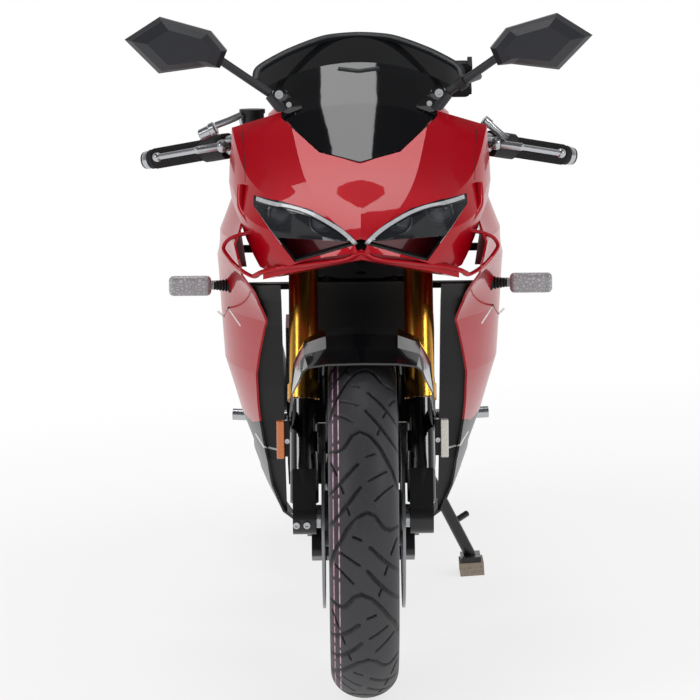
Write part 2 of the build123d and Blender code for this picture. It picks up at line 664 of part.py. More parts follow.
def drive_chain():
    """The chain as one loop, a channel that both sprockets' teeth run in."""
    x0, x1 = CHAIN_PLACE - CHAIN_WIDTH / 2, CHAIN_PLACE + CHAIN_WIDTH / 2
    plate = 3.6
    outer = extrude(loop_face(CHAIN_HEIGHT / 2, x0), amount=CHAIN_WIDTH, dir=(1, 0, 0))
    inner = extrude(loop_face(-CHAIN_HEIGHT / 2, x0 - 1), amount=CHAIN_WIDTH + 2, dir=(1, 0, 0))
    groove = extrude(loop_face(TOOTH_TOP + 0.6, x0 + plate), amount=x1 - x0 - 2 * plate, dir=(1, 0, 0))
    return outer - inner - groove


nodes["drive_chain"] = drive_chain()

# Swingarm, rear axle, shock and rear caliper

ARM_INNER = 104.0
ARM_OUTER = 128.0


def swingarm():
    """The pivot tube, two arms with axle ends and the bridge between them."""
    arm = [
        (836, [(70, 374), (98, 374), (98, 410), (70, 410)]),
        (960, [(82, 362), (114, 362), (114, 404), (82, 404)]),
        (1040, [(ARM_INNER, 345), (ARM_OUTER, 345), (ARM_OUTER, 392), (ARM_INNER, 392)]),
        (REAR_AXLE.Y - 50, [(ARM_INNER, 292), (ARM_OUTER, 292), (ARM_OUTER, 338), (ARM_INNER, 338)]),
        (REAR_AXLE.Y + 44, [(ARM_INNER, 292), (ARM_OUTER, 292), (ARM_OUTER, 334), (ARM_INNER, 334)]),
    ]
    faces = [make_face(Polyline([(x, y, z) for x, z in ring], close=True)) for y, ring in arm]
    side = loft(faces, ruled=True)
    tube = cross_bar(PIVOT, PIVOT_RADIUS, -PLATE_INNER + SOFT_GAP, PLATE_INNER - SOFT_GAP)
    bridge = block(-92, 92, 915, 985, 366, 398)
    whole = side + mirrored(side) + tube + bridge
    whole -= cross_bar(PIVOT, 10 + CLAMP_FIT, -200, 200)
    return whole - cross_bar(REAR_AXLE, AXLE_RADIUS + CLAMP_FIT, -200, 200)


def rear_axle():
    """The rear axle, its collars and nuts."""
    axle = cross_bar(REAR_AXLE, AXLE_RADIUS, -ARM_OUTER - 16, ARM_OUTER + 16)
    axle += cross_bar(REAR_AXLE, 15, REAR_HUB_LEFT + SOFT_GAP, ARM_INNER)
    axle += cross_bar(REAR_AXLE, 15, -ARM_INNER, -REAR_HUB_RIGHT - SOFT_GAP)
    axle += cross_bar(REAR_AXLE, 16, ARM_OUTER, ARM_OUTER + 12)
    return axle + cross_bar(REAR_AXLE, 16, -ARM_OUTER - 12, -ARM_OUTER)


def rear_caliper():
    """The rear caliper over the disc, on its bracket round the axle."""
    middle = -REAR_DISC_PLACE - DISC_THICKNESS / 2
    body = Pos(middle, 0, 96) * Box(46, 70, 52)
    slot = REAR_DISC_RADIUS + 3
    body -= Pos(middle, 0, slot - 40) * Box(DISC_THICKNESS + 3, 80, 80)
    body = Rot(62, 0, 0) * body
    bracket = slab([(-20, -16), (16, 16), (-50, 66), (-100, 34)], -ARM_INNER + SEAT_GAP, middle - 22)
    whole = Pos(0, REAR_AXLE.Y, REAR_AXLE.Z) * (body + bracket)
    return whole - cross_bar(REAR_AXLE, 15 + CLAMP_FIT, -120, -60)


nodes["swingarm"] = swingarm()
nodes["pivot_bolt"] = cross_bar(PIVOT, 10, -PLATE_OUTER, PLATE_OUTER) + cross_bar(
    PIVOT, 14, PLATE_OUTER, PLATE_OUTER + 6) + cross_bar(PIVOT, 14, -PLATE_OUTER - 6, -PLATE_OUTER)
nodes["rear_axle"] = rear_axle()
nodes["rear_caliper"] = rear_caliper()

SHOCK_FOOT = Vector(0, 945, 398)
SHOCK_HEAD = Vector(0, 862, 570)


def rear_shock():
    """The shock absorber: body, spring as turned rings, and its two eyes."""
    way = (SHOCK_HEAD - SHOCK_FOOT).normalized()
    shock = rod(SHOCK_FOOT + way * 16, SHOCK_HEAD - way * 8, 20)
    for ring in range(7):
        start = SHOCK_FOOT + way * (28 + 19 * ring)
        shock += rod(start, start + way * 10, 33)
    shock += rod(SHOCK_FOOT + Vector(0, 0, SEAT_GAP), SHOCK_FOOT + way * 18, 12)
    return shock - cross_bar(Vector(0, 850, 585), 13 + SEAT_GAP, -60, 60) - block(
        -60, 60, 900, 1000, 350, 398 + SEAT_GAP)


nodes["rear_shock"] = rear_shock()

# Fairing: one skin through six stations, split into sides and belly pan

SIDE_LEVELS = [820, 745, 690, 600, 505, 405, 340, 290, 235]
# y, half widths at the levels, then the bottom corner's x and z
SIDE_STATIONS = [
    (-25, [172, 205, 192, 160, 155, 150, 150, 145, 130], 110, 222),
    (160, [198, 228, 220, 170, 166, 150, 146, 140, 126], 96, 218),
    (300, [204, 238, 243, 228, 220, 188, 168, 156, 134], 104, 214),
    (450, [160, 222, 248, 245, 240, 212, 188, 172, 150], 124, 205),
    (620, [132, 190, 238, 241, 239, 216, 198, 190, 170], 130, 178),
    (810, [120, 160, 205, 222, 226, 215, 205, 200, 190], 136, 148),
]
PANEL_GAP = 1.0


fairing_sections = []
for y, widths, corner_x, corner_z in SIDE_STATIONS:
    half_section = [(x, z) for x, z in zip(widths, SIDE_LEVELS)]
    fairing_sections.append((y, half_section + [(corner_x, corner_z), (0, corner_z - 4)]))
fairing_outside = core(fairing_sections, 0)
fairing_inside = core(fairing_sections, PANEL + SEAT_GAP)


SIDE_OUTLINE = [
    (-11, 722), (15, 700), (62, 664), (112, 634), (145, 590), (172, 540), (200, 480), (238, 416),
    (300, 404), (430, 408), (600, 474), (700, 562), (742, 640), (690, 716), (570, 772),
    (440, 798), (330, 808), (180, 806), (67, 776), (3, 742),
]
BELLY_OUTLINE = [
    (238, 418), (300, 430), (430, 440), (590, 500), (690, 600), (736, 620), (790, 500), (808, 380),
    (808, 100), (420, 100), (400, 190), (330, 262), (270, 340),
]

BELLY_STAYS = [(560, 330), (700, 330)]
FAIRING_STAYS = [(440, 690), (640, 600)]
TANK_MOUNT = Vector(98, 440, 802)

shell = skin(fairing_sections, PANEL)
side_face = make_face(Polyline([(-10, y, z) for y, z in SIDE_OUTLINE], close=True))
left_side = shell & extrude(side_face, amount=410, dir=(1, 0, 0))
nodes["side_fairing_left"] = left_side
nodes["side_fairing_right"] = mirrored(left_side)
side_space = extrude(offset(side_face, SEAT_GAP, kind=Kind.INTERSECTION), amount=410, dir=(1, 0, 0))
belly_half = (shell & slab(BELLY_OUTLINE, -10, 400)) - side_space
for y, z in BELLY_STAYS:
    belly_half += rod((CASES_HALF + SEAT_GAP, y, z), (300, y, z), 8) & fairing_outside
nodes["belly_pan"] = belly_half + mirrored(belly_half)

for y, z in FAIRING_STAYS:
    stay = rod((100, y, z), (300, y, z), 7) & fairing_inside
    left_spar += stay
    right_spar += mirrored(stay)
tank_mount = rod(TANK_MOUNT - Vector(0, 0, 80), TANK_MOUNT, 9)
left_spar += tank_mount
right_spar += mirrored(tank_mount)
nodes["main_frame"] = [left_spar, right_spar, head_tube, shock_tube]
radiator_hanger = rod((58, 336, 638), (58, 350, 722), 5)
nodes["radiator"] = radiator_core + radiator_hanger + mirrored(radiator_hanger) - left_spar - right_spar

# Inner panels: they close the fairing's front edge inwards, clear of the turning fork

INNER_EDGE = 132.0
INNER_LINE = [
    (78, 668), (124, 634), (156, 590), (182, 540), (210, 480), (248, 416), (280, 342), (340, 264), (410, 192),
]

strip = INNER_LINE + [(y + PANEL, z) for y, z in INNER_LINE[::-1]]
inner_panel = slab(strip, INNER_EDGE, 400) & fairing_inside
nodes["inner_panels"] = both(inner_panel)

# Nose cowl

# y, then the half section from the top centre down to the lower edge
NOSE_STATIONS = [
    (-123, [(0, 768), (9, 766), (14, 758), (11, 748), (8, 742)]),
    (-45, [(0, 820), (70, 817), (130, 812), (136, 770), (122, 712)]),
    (15, [(0, 858), (92, 858), (172, 840), (186, 790), (160, 696)]),
    (85, [(0, 912), (108, 914), (198, 882), (206, 820), (190, 700)]),
    (140, [(0, 950), (118, 952), (211, 924), (215, 830), (200, 716)]),
    (172, [(0, 958), (120, 958), (214, 926), (218, 832), (203, 720)]),
]
NOSE_OUTLINE = [
    (-140, 735), (-85, 722), (-15, 700), (17, 706), (39, 742), (67, 779), (169, 809), (169, 850),
    (140, 895), (140, 990), (-140, 990),
]
LAMP_OPENING = [
    (12, 767), (40, 786), (80, 806), (128, 818), (172, 824), (173, 808), (141, 766), (106, 722), (40, 745),
    (10, 755),
]
LENS_LOW = 760.0
DUCT_BACK = 74.0


def lamp_prism(grow, y0, y1):
    """The left headlight's front outline, grown and made deep."""
    face = make_face(Polyline([(x, y0, z) for x, z in LAMP_OPENING], close=True))
    if grow:
        face = offset(face, grow, kind=Kind.INTERSECTION)
    return extrude(face, amount=y1 - y0, dir=(0, 1, 0))


def nose_cowl():
    """The nose panel, open behind, with the two headlight openings."""
    half = skin(NOSE_STATIONS, PANEL)
    half = half & slab(NOSE_OUTLINE, -10, 400)
    half -= lamp_prism(0, -165, 75)
    screen_bay = front_prism([(-1, 872), (66, 888), (128, 940), (136, 1000), (-1, 1000)], 35, 185)
    half -= screen_bay
    lip = loft([
        make_face(Polyline([(0, -123, 748), (0, -123, 732), (0, -65, 724), (0, -65, 734)], close=True)),
        make_face(Polyline([(120, -45, 716), (120, -45, 702), (120, -5, 694), (120, -5, 704)], close=True)),
        make_face(Polyline([(158, -23, 700), (158, -23, 690), (158, 15, 686), (158, 15, 697)], close=True)),
    ], ruled=True)
    half += lip
    return half + mirrored(half)


# x, front y, z and radius of each projector in the left lamp
PROJECTORS = [(127, -15, 796, 22), (60, -43, 786, 22)]
LAMP_BACK = 21.0
LAMP_PLATE = 8.0
LENS_WALL = 3.0
LENS_SINK = 0.4

inside = core(NOSE_STATIONS, LENS_SINK)
cover = inside & lamp_prism(-0.3, -165, LAMP_BACK - 4) & block(0, 400, -200, 200, LENS_LOW, 900)
nodes["headlight_lenses"] = both(cover - Pos(0, LENS_WALL, 0) * inside)

# The dark panel set back in the opening under each lens
SURROUND_LINE = [(4, -88), (120, -2), (118, 2), (2, -84)]

surround = extrude(make_face(Polyline([(x, y, 700) for x, y in SURROUND_LINE], close=True)),
                   amount=LENS_LOW - 704, dir=(0, 0, 1))
nodes["lamp_surrounds"] = both(surround & lamp_prism(-2.8, -165, LAMP_BACK - 1) & core(NOSE_STATIONS, PANEL))


def headlight_unit():
    """The left lamp's back plate with its two projector barrels."""
    unit = lamp_prism(-0.3, LAMP_BACK, LAMP_BACK + LAMP_PLATE)
    wall = Pos(0, LENS_WALL + SEAT_GAP, 0) * inside & lamp_prism(-0.3, -165, LAMP_BACK + 1)
    unit += wall - lamp_prism(-2.8, -165, LAMP_BACK)
    for x, y, z, radius in PROJECTORS:
        unit += rod((x, LAMP_BACK, z), (x, y, z), radius)
        dome = Pos(x, y + 10, z) * Sphere(radius - 1) & block(x - 40, x + 40, y - 40, y, z - 40, z + 40)
        unit += dome
    return unit


nodes["headlight_units"] = both(headlight_unit())

# Windscreen: arcs across the bike, trimmed to its front outline

SCREEN_ARCS = [
    (25, 866, 150, 800),
    (135, 962, 168, 915),
    (217, 1026, 178, 972),
    (291, 1071, 182, 1012),
]
SCREEN_OUTLINE = [
    (0, 874), (70, 891), (130, 944), (172, 1000), (165, 1019), (132, 1038), (60, 1066), (0, 1073),
    (-60, 1066), (-132, 1038), (-165, 1019), (-172, 1000), (-130, 944), (-70, 891),
]


def windscreen():
    """A thin bubble: arcs lofted from the nose to the top edge, then trimmed."""
    faces = []
    for y, crown, half, edge in SCREEN_ARCS:
        inner = SCREEN_THICKNESS
        faces.append(make_face([
            ThreePointArc((-half, y, edge), (0, y, crown), (half, y, edge)),
            Line((half, y, edge), (half, y, edge - inner)),
            ThreePointArc((half, y, edge - inner), (0, y, crown - inner), (-half, y, edge - inner)),
            Line((-half, y, edge - inner), (-half, y, edge)),
        ]))
    return loft(faces, ruled=True) & front_prism(SCREEN_OUTLINE, 15, 295)


MIRROR_ROOT = Vector(120, 151, 944)
MIRROR_KNEE = Vector(146, 151, 978)
MIRROR_REACH = Vector(232, 115, 1040)
MIRROR_FOOT_RADIUS = 11.0
MIRROR_STALK = 7.0

screen_notch = rod(MIRROR_ROOT, MIRROR_KNEE, MIRROR_FOOT_RADIUS + SOFT_GAP)
nodes["windscreen"] = windscreen() - screen_notch - mirrored(screen_notch)
nodes["nose_cowl"] = nose_cowl() - nodes["windscreen"] - left_side - nodes["side_fairing_right"]
duct_wall = block(150, 400, DUCT_BACK, DUCT_BACK + PANEL, 700, 776)
nodes["air_ducts"] = both((duct_wall & fairing_inside) - core(NOSE_STATIONS, -SEAT_GAP))
STAY_FRONT = LAMP_BACK + LAMP_PLATE + SEAT_GAP


def fairing_stay():
    """The frame that carries nose, lamps, dash and mirrors off the head tube."""
    beam = [(STAY_FRONT, 750), (STAY_FRONT + 16, 750), (236, 762), (236, 786), (STAY_FRONT, 780)]
    stay = slab(beam, -14, 14)
    stay += block(-126, 126, STAY_FRONT, STAY_FRONT + 14, 754, 776)
    upright = rod((116, STAY_FRONT + 7, 766), (126, 151, 946), 7) & core(NOSE_STATIONS, PANEL + SEAT_GAP)
    head = stem_rod(HEAD_BOTTOM - 1, HEAD_TOP + 1, HEAD_TUBE_RADIUS)
    return stay + upright + mirrored(upright) - left_spar - right_spar - head - nodes["windscreen"]


nodes["fairing_stay"] = fairing_stay()
dash = Plane(origin=(0, 105, 880), x_dir=(1, 0, 0), z_dir=(0, 0.8, 0.6))
nodes["instrument_panel"] = extrude(dash * RectangleRounded(120, 56, 12), amount=-22) + rod(
    (0, 95, 876), (0, 39, 768), 10) - nodes["fairing_stay"]

# Mirrors

MIRROR_OUTLINE = [
    (383, 1072), (326, 1108), (242, 1084), (216, 1052), (228, 1024), (250, 1026), (328, 1016),
]
MIRROR_FRONT, MIRROR_BACK = 77.0, 133.0


def mirror_arm():
    """The left mirror: foot, stalk and a housing that tapers forwards."""
    centre_x = sum(x for x, z in MIRROR_OUTLINE) / len(MIRROR_OUTLINE)
    centre_z = sum(z for x, z in MIRROR_OUTLINE) / len(MIRROR_OUTLINE)
    faces = []
    for y, share in ((MIRROR_FRONT, 0.62), (MIRROR_FRONT + 14, 0.88), (MIRROR_FRONT + 30, 1.0),
                     (MIRROR_BACK, 1.0)):
        ring = [(centre_x + share * (x - centre_x), centre_z + share * (z - centre_z))
                for x, z in MIRROR_OUTLINE]
        faces.append(make_face(Polyline([(x, y, z) for x, z in ring], close=True)))
    housing = loft(faces, ruled=True)
    stalk = rod(MIRROR_KNEE, MIRROR_REACH, MIRROR_STALK)
    foot = rod(MIRROR_KNEE, MIRROR_ROOT, MIRROR_FOOT_RADIUS) - core(NOSE_STATIONS, 0)
    return housing + stalk + foot


nodes["mirrors"] = both(mirror_arm())

# Phone holder on the left mirror's stalk: a clamp, an arm and a cradle with claws


def phone_holder():
    """The clamp on the stalk, its bent arm and the cradle with four claws."""
    way = (MIRROR_REACH - MIRROR_KNEE).normalized()
    foot = MIRROR_KNEE + way * 30
    elbow = Vector(204, 302, 996)
    head = Vector(168, 324, 988)
    clamp = rod(foot - way * 7, foot + way * 7, MIRROR_STALK + 5)
    arm = rod(foot, elbow, 6) + Pos(*elbow) * Sphere(6) + rod(elbow, head, 6)
    cradle = Plane(origin=head, x_dir=(1, 0, 0), z_dir=(0, 0.8, 0.6))
    back = extrude(cradle * RectangleRounded(46, 74, 9), amount=9)
    for x in (-22, 22):
        for y in (-26, 26):
            back += extrude(cradle * Pos(x, y) * Rectangle(8, 10), amount=26)
    return clamp + arm + back - rod(foot - way * 30, foot + way * 30, MIRROR_STALK + CLAMP_FIT)


nodes["phone_holder"] = phone_holder()

# Turn indicators


def front_indicator():
    """A stalk out of the side fairing and its lens body."""
    stalk = rod((190, 262, 650), (262, 256, 648), 8) - fairing_outside
    body = Pos(290, 252, 648) * Box(72, 22, 34)
    body = fillet(body.edges(), 8)
    return stalk + body


nodes["front_indicators"] = both(front_indicator())

# Tank, seats and tail

TANK_STATIONS = [
    (352, [(0, 905), (58, 900), (96, 866), (98, 812), (74, 790), (0, 790)]),
    (430, [(0, 985), (80, 975), (140, 925), (150, 856), (104, 800), (0, 800)]),
    (530, [(0, 998), (90, 984), (160, 918), (164, 850), (108, 790), (0, 790)]),
    (630, [(0, 950), (74, 938), (126, 884), (124, 826), (92, 770), (0, 770)]),
    (704, [(0, 862), (56, 856), (84, 826), (84, 796), (66, 760), (0, 760)]),
]
RIDER_STATIONS = [
    (705, [(0, 824), (58, 818), (76, 800), (72, 772), (0, 770)]),
    (800, [(0, 792), (104, 788), (124, 774), (112, 754), (0, 753)]),
    (930, [(0, 798), (116, 796), (136, 780), (122, 758), (0, 757)]),
    (1012, [(0, 858), (96, 852), (112, 836), (100, 766), (0, 764)]),
]
PILLION_STATIONS = [
    (1030, [(0, 884), (84, 880), (98, 866), (92, 848), (0, 847)]),
    (1120, [(0, 898), (96, 893), (110, 880), (102, 860), (0, 859)]),
    (1262, [(0, 908), (72, 903), (84, 892), (76, 877), (0, 876)]),
]
# the tail's open half section: top centre, top edge, widest point, lower edge
TAIL_STATIONS = [
    (722, [(0, 751), (88, 751), (112, 728), (104, 640)]),
    (800, [(0, 752), (112, 752), (140, 730), (122, 640)]),
    (930, [(0, 756), (122, 756), (154, 738), (128, 652)]),
    (1014, [(0, 763), (100, 763), (152, 760), (122, 676)]),
    (1030, [(0, 848), (96, 848), (148, 800), (118, 684)]),
    (1120, [(0, 860), (106, 860), (138, 838), (104, 716)]),
    (1262, [(0, 877), (84, 877), (114, 862), (80, 762)]),
    (TAIL_END - 100, [(0, 902), (60, 900), (88, 880), (60, 800)]),
    (TAIL_END, [(0, 905), (34, 902), (58, 884), (40, 838)]),
]


def subframe():
    """Two tubes from the pivot plates up and back under the seats."""
    tube = rod((112, 768, 590), (100, 890, 739.5), 11) + rod((100, 890, 739.5), (96, 1008, 744), 11)
    tube += Pos(100, 890, 739.5) * Sphere(11) + Pos(96, 1008, 744) * Sphere(11)
    tube += rod((96, 1008, 744), (50, TAIL_END - 120, 868), 11)
    cross = cross_bar(Vector(0, TAIL_END - 120, 868), 9, -50, 50)
    return tube + mirrored(tube) + cross - left_spar - right_spar


nodes["subframe"] = subframe()
nodes["fuel_tank"] = hull(TANK_STATIONS) - left_spar - right_spar
nodes["rider_seat"] = hull(RIDER_STATIONS)
tail_half = skin(TAIL_STATIONS, PANEL, straight=True)
nodes["tail_cowl"] = tail_half + mirrored(tail_half) - nodes["rider_seat"]
nodes["pillion_seat"] = hull(PILLION_STATIONS) - nodes["tail_cowl"]
nodes["tail_light"] = hull([
    (TAIL_END + 0.2, [(0, 900), (32, 897), (54, 882), (38, 842), (0, 840)]),
    (TAIL_END + 22, [(0, 890), (24, 888), (42, 878), (30, 852), (0, 850)]),
])


TRAY_WALL = 5.0
# side outlines of the carrier, as the distance behind the tail's end and the height
CARRIER_ARM = [
    (-120, 790), (-30, 826), (0, 828), (60, 720), (140, 610), (128, 600), (40, 706), (-38, 800), (-116, 776),
]
CARRIER_PLATE = [(114, 640), (134, 650), (190, 552), (180, 546)]


def rear_fender():
    """The plate carrier: an arm under the tail and a flat plate holder."""
    arm = slab([(TAIL_END + back, z) for back, z in CARRIER_ARM], -34, 34)
    holder = slab([(TAIL_END + back, z) for back, z in CARRIER_PLATE], -70, 70)
    tray = []
    for y, points in TAIL_STATIONS[5:]:
        x, z = points[-1]
        z -= SEAT_GAP
        ring = [(-x, z - TRAY_WALL), (x, z - TRAY_WALL), (x, z), (-x, z)]
        tray.append(make_face(Polyline([(a, y, b) for a, b in ring], close=True)))
    return arm + holder + loft(tray, ruled=True)


nodes["rear_fender"] = rear_fender()


def rear_indicator():
    """The left rear indicator on the plate carrier's arm."""
    y = TAIL_END + 48
    return rod((34.2, y, 728), (70, y, 728), 6) + Pos(100, y, 728) * Box(64, 22, 30)


nodes["rear_indicators"] = both(rear_indicator())

# Exhaust

EXHAUST_ROUTE = [
    (-38, 452, 606), (-38, 404, 560), (-38, 398, 340), (-44, 462, 229), (-60, 700, 229), (-112, 860, 236),
    (-160, 960, 274),
]


PIPE_RADIUS = 17.0
PIPE_WALL = 2.5
CAN_WALL = 3.0
OUTLET_RADIUS = 21.0


def silencer_form(can, wall):
    """The silencer's tapered can, drawn in by a wall."""
    return loft([
        can * Pos(0, 0, wall) * Circle(22 - wall), can * Pos(0, 0, 40) * Ellipse(38 - wall, 46 - wall),
        can * Pos(0, 0, 110) * Ellipse(46 - wall, 58 - wall), can * Pos(0, 0, 330) * Ellipse(44 - wall, 56 - wall),
        can * Pos(0, 0, 362 - wall) * Ellipse(32 - wall, 42 - wall),
    ], ruled=True)


def exhaust():
    """A pipe down and under the engine to the hollow silencer on the right, open at its outlet."""
    path = FilletPolyline(*EXHAUST_ROUTE, radius=[24, 80, 70, 120, 90])
    start = Plane(origin=path @ 0, z_dir=path % 0)
    pipe = sweep(start * Circle(PIPE_RADIUS), path=path) - nodes["engine_block"]
    bore = sweep(start * Circle(PIPE_RADIUS - PIPE_WALL), path=path)
    end = Vector(*EXHAUST_ROUTE[-1])
    way = Vector(-38, 300, 120).normalized()
    can = Plane(origin=end - way * 6, z_dir=way, x_dir=(1, 0, 0.12))
    outlet = extrude(can * Pos(0, 0, 350) * Circle(OUTLET_RADIUS), 20)
    return (pipe + silencer_form(can, 0)) - bore - silencer_form(can, CAN_WALL) - outlet


nodes["exhaust"] = exhaust()

# Foot pegs and their brackets

PEG = Vector(0, 862, 322)


def peg_bracket():
    """The left bracket plate with its peg."""
    plate = slab([(806, 500), (850, 520), (900, 380), (900, 310), (850, 296), (820, 330)],
                 PLATE_OUTER + 6.3, PLATE_OUTER + 14)
    peg = rod((PLATE_OUTER + 10, PEG.Y, PEG.Z), (PLATE_OUTER + 118, PEG.Y + 8, PEG.Z + 4), 11)
    boss = rod((PLATE_OUTER + SOFT_GAP, 830, 480), (PLATE_OUTER + 10, 830, 480), 12)
    return plate + peg + boss


nodes["foot_pegs"] = both(peg_bracket())

# Side stand and the wooden block under its foot

STAND_FOOT = Vector(209, 872, BLOCK_HEIGHT + 12)
BLOCK_PLACE = Vector(212, 872, 0)


def side_stand():
    """The stand: pivot eye, leg, retraction tang and foot plate."""
    eye_start = STAND_PIVOT + STAND_AXIS * 8.0
    eye = rod(eye_start, eye_start + STAND_AXIS * 16, 20)
    pin = rod(STAND_PIVOT - STAND_AXIS * 10, eye_start + STAND_AXIS * 4, 5.95)
    leg = rod(eye_start + STAND_AXIS * 8, STAND_FOOT, 11)
    foot = Pos(STAND_FOOT.X, STAND_FOOT.Y, STAND_FOOT.Z - 3) * Rot(0, -LEAN, 0) * Box(38, 62, 10)
    middle = eye_start + (STAND_FOOT - eye_start) * 0.6
    tang = rod(middle, middle + Vector(30, 26, 14), 6)
    return eye + pin + leg + foot + tang


nodes["side_stand"] = side_stand()

# Placing: lean towards the stand, stand the block level, centre the origin

lean = Rot(0, LEAN, 0)
placed = {}
for name, shape in nodes.items():
    solids = shape if isinstance(shape, list) else [shape]
    placed[name] = [lean * solid for solid in solids]

foot_low = min(solid.bounding_box().min.Z for solid in placed["side_stand"])
placed["stand_block"] = [block(
    BLOCK_PLACE.X - BLOCK_WIDTH / 2, BLOCK_PLACE.X + BLOCK_WIDTH / 2,
    BLOCK_PLACE.Y - BLOCK_DEPTH / 2, BLOCK_PLACE.Y + BLOCK_DEPTH / 2, 0, foot_low - SOFT_GAP)]

boxes = [solid.bounding_box() for solids in placed.values() for solid in solids]
low = [min(getattr(b.min, a) for b in boxes) for a in "XYZ"]
high = [max(getattr(b.max, a) for b in boxes) for a in "XYZ"]
shift = Vector(-(low[0] + high[0]) / 2, -(low[1] + high[1]) / 2, -low[2])
for name, solids in placed.items():
    moved = [Pos(*shift) * solid for solid in solids]
    export_step(moved[0] if len(moved) == 1 else Compound(children=moved), f"parts/{name}.step")
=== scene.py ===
"""Sport bike on its side stand: finishes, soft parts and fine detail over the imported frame."""

import bmesh
import bpy
import logging
import math
from dataclasses import dataclass, field
from enum import Enum
from mathutils import Matrix, Vector
from mathutils.bvhtree import BVHTree
from mathutils.geometry import intersect_point_line


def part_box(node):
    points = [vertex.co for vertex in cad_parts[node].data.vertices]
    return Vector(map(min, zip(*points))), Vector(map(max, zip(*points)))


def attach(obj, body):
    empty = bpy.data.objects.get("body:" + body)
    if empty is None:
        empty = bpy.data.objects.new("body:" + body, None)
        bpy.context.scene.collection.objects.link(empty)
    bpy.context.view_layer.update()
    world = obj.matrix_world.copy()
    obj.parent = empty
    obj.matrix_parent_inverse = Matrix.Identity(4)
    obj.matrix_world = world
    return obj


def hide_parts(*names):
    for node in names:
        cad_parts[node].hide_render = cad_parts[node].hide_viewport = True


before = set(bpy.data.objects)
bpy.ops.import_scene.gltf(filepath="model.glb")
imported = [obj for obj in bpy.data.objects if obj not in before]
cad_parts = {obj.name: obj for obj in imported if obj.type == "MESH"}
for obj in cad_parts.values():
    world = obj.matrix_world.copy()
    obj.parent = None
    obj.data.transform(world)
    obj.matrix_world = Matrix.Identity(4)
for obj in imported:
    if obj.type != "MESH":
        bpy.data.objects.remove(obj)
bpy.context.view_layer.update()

log = logging.getLogger("sport_bike")

# The drawing frame: upright bike, millimetres, front axle over the origin
LEAN = 3.5
FRONT_RADIUS = 293.0
REAR_RADIUS = 314.0
WHEELBASE = 1380.0

# Faces that meet at more than this many degrees keep a crisp edge: drawn pieces, then CAD nodes
SHARP_DRAWN = 32.0
SHARP_CAD = 28.0


def drawing_matrix() -> Matrix:
    """Finds the matrix from the upright drawing in millimetres to the leaning row frame.

    Returns:
        The matrix that leans, moves and scales drawn points to metres.
    """
    low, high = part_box("front_tyre")
    axle = (low + high) / 2
    lean = Matrix.Rotation(math.radians(LEAN), 4, "Y")
    drawn_axle = lean @ Vector((0.0, 0.0, FRONT_RADIUS / 1000))
    return Matrix.Translation(axle - drawn_axle) @ lean @ Matrix.Scale(0.001, 4)


DRAWING = drawing_matrix()


class Body(Enum):
    """The moving bodies of the bike."""

    CHASSIS = "chassis"
    STEERING = "steering"
    FRONT_WHEEL = "front_wheel"
    REAR_WHEEL = "rear_wheel"
    STAND = "side_stand"


class Texture(Enum):
    """How a surface was made, which gives its pattern."""

    FLAKE = "metallic flake under lacquer"
    GRAIN = "spark-eroded moulding grain"
    BRUSHED = "brushed or drawn"
    CAST = "sand or die cast"
    SMOOTH = "polished, faint waviness"
    HIDE = "embossed vinyl hide"


def linear(code: str) -> tuple[float, float, float, float]:
    """Turns an sRGB hex code into a linear colour.

    Args:
        code: Six hex digits with a leading hash.

    Returns:
        Red, green, blue and an alpha of 1.
    """
    parts = [int(code[i:i + 2], 16) / 255 for i in (1, 3, 5)]
    red, green, blue = (c / 12.92 if c <= 0.04045 else ((c + 0.055) / 1.055) ** 2.4 for c in parts)
    return red, green, blue, 1.0


def add(tree: bpy.types.NodeTree, kind: str, sockets: dict | None = None,
        **settings: object) -> bpy.types.Node:
    """Adds a node to a tree, with its settings and what goes into it.

    Args:
        tree: The node tree.
        kind: The node's type name.
        sockets: Values or output sockets, by input name or number.
        settings: Properties of the node itself.

    Returns:
        The new node.
    """
    node = tree.nodes.new(kind)
    for name, value in settings.items():
        setattr(node, name, value)
    for name, value in (sockets or {}).items():
        if isinstance(value, bpy.types.NodeSocket):
            tree.links.new(value, node.inputs[name])
        else:
            node.inputs[name].default_value = value
    return node


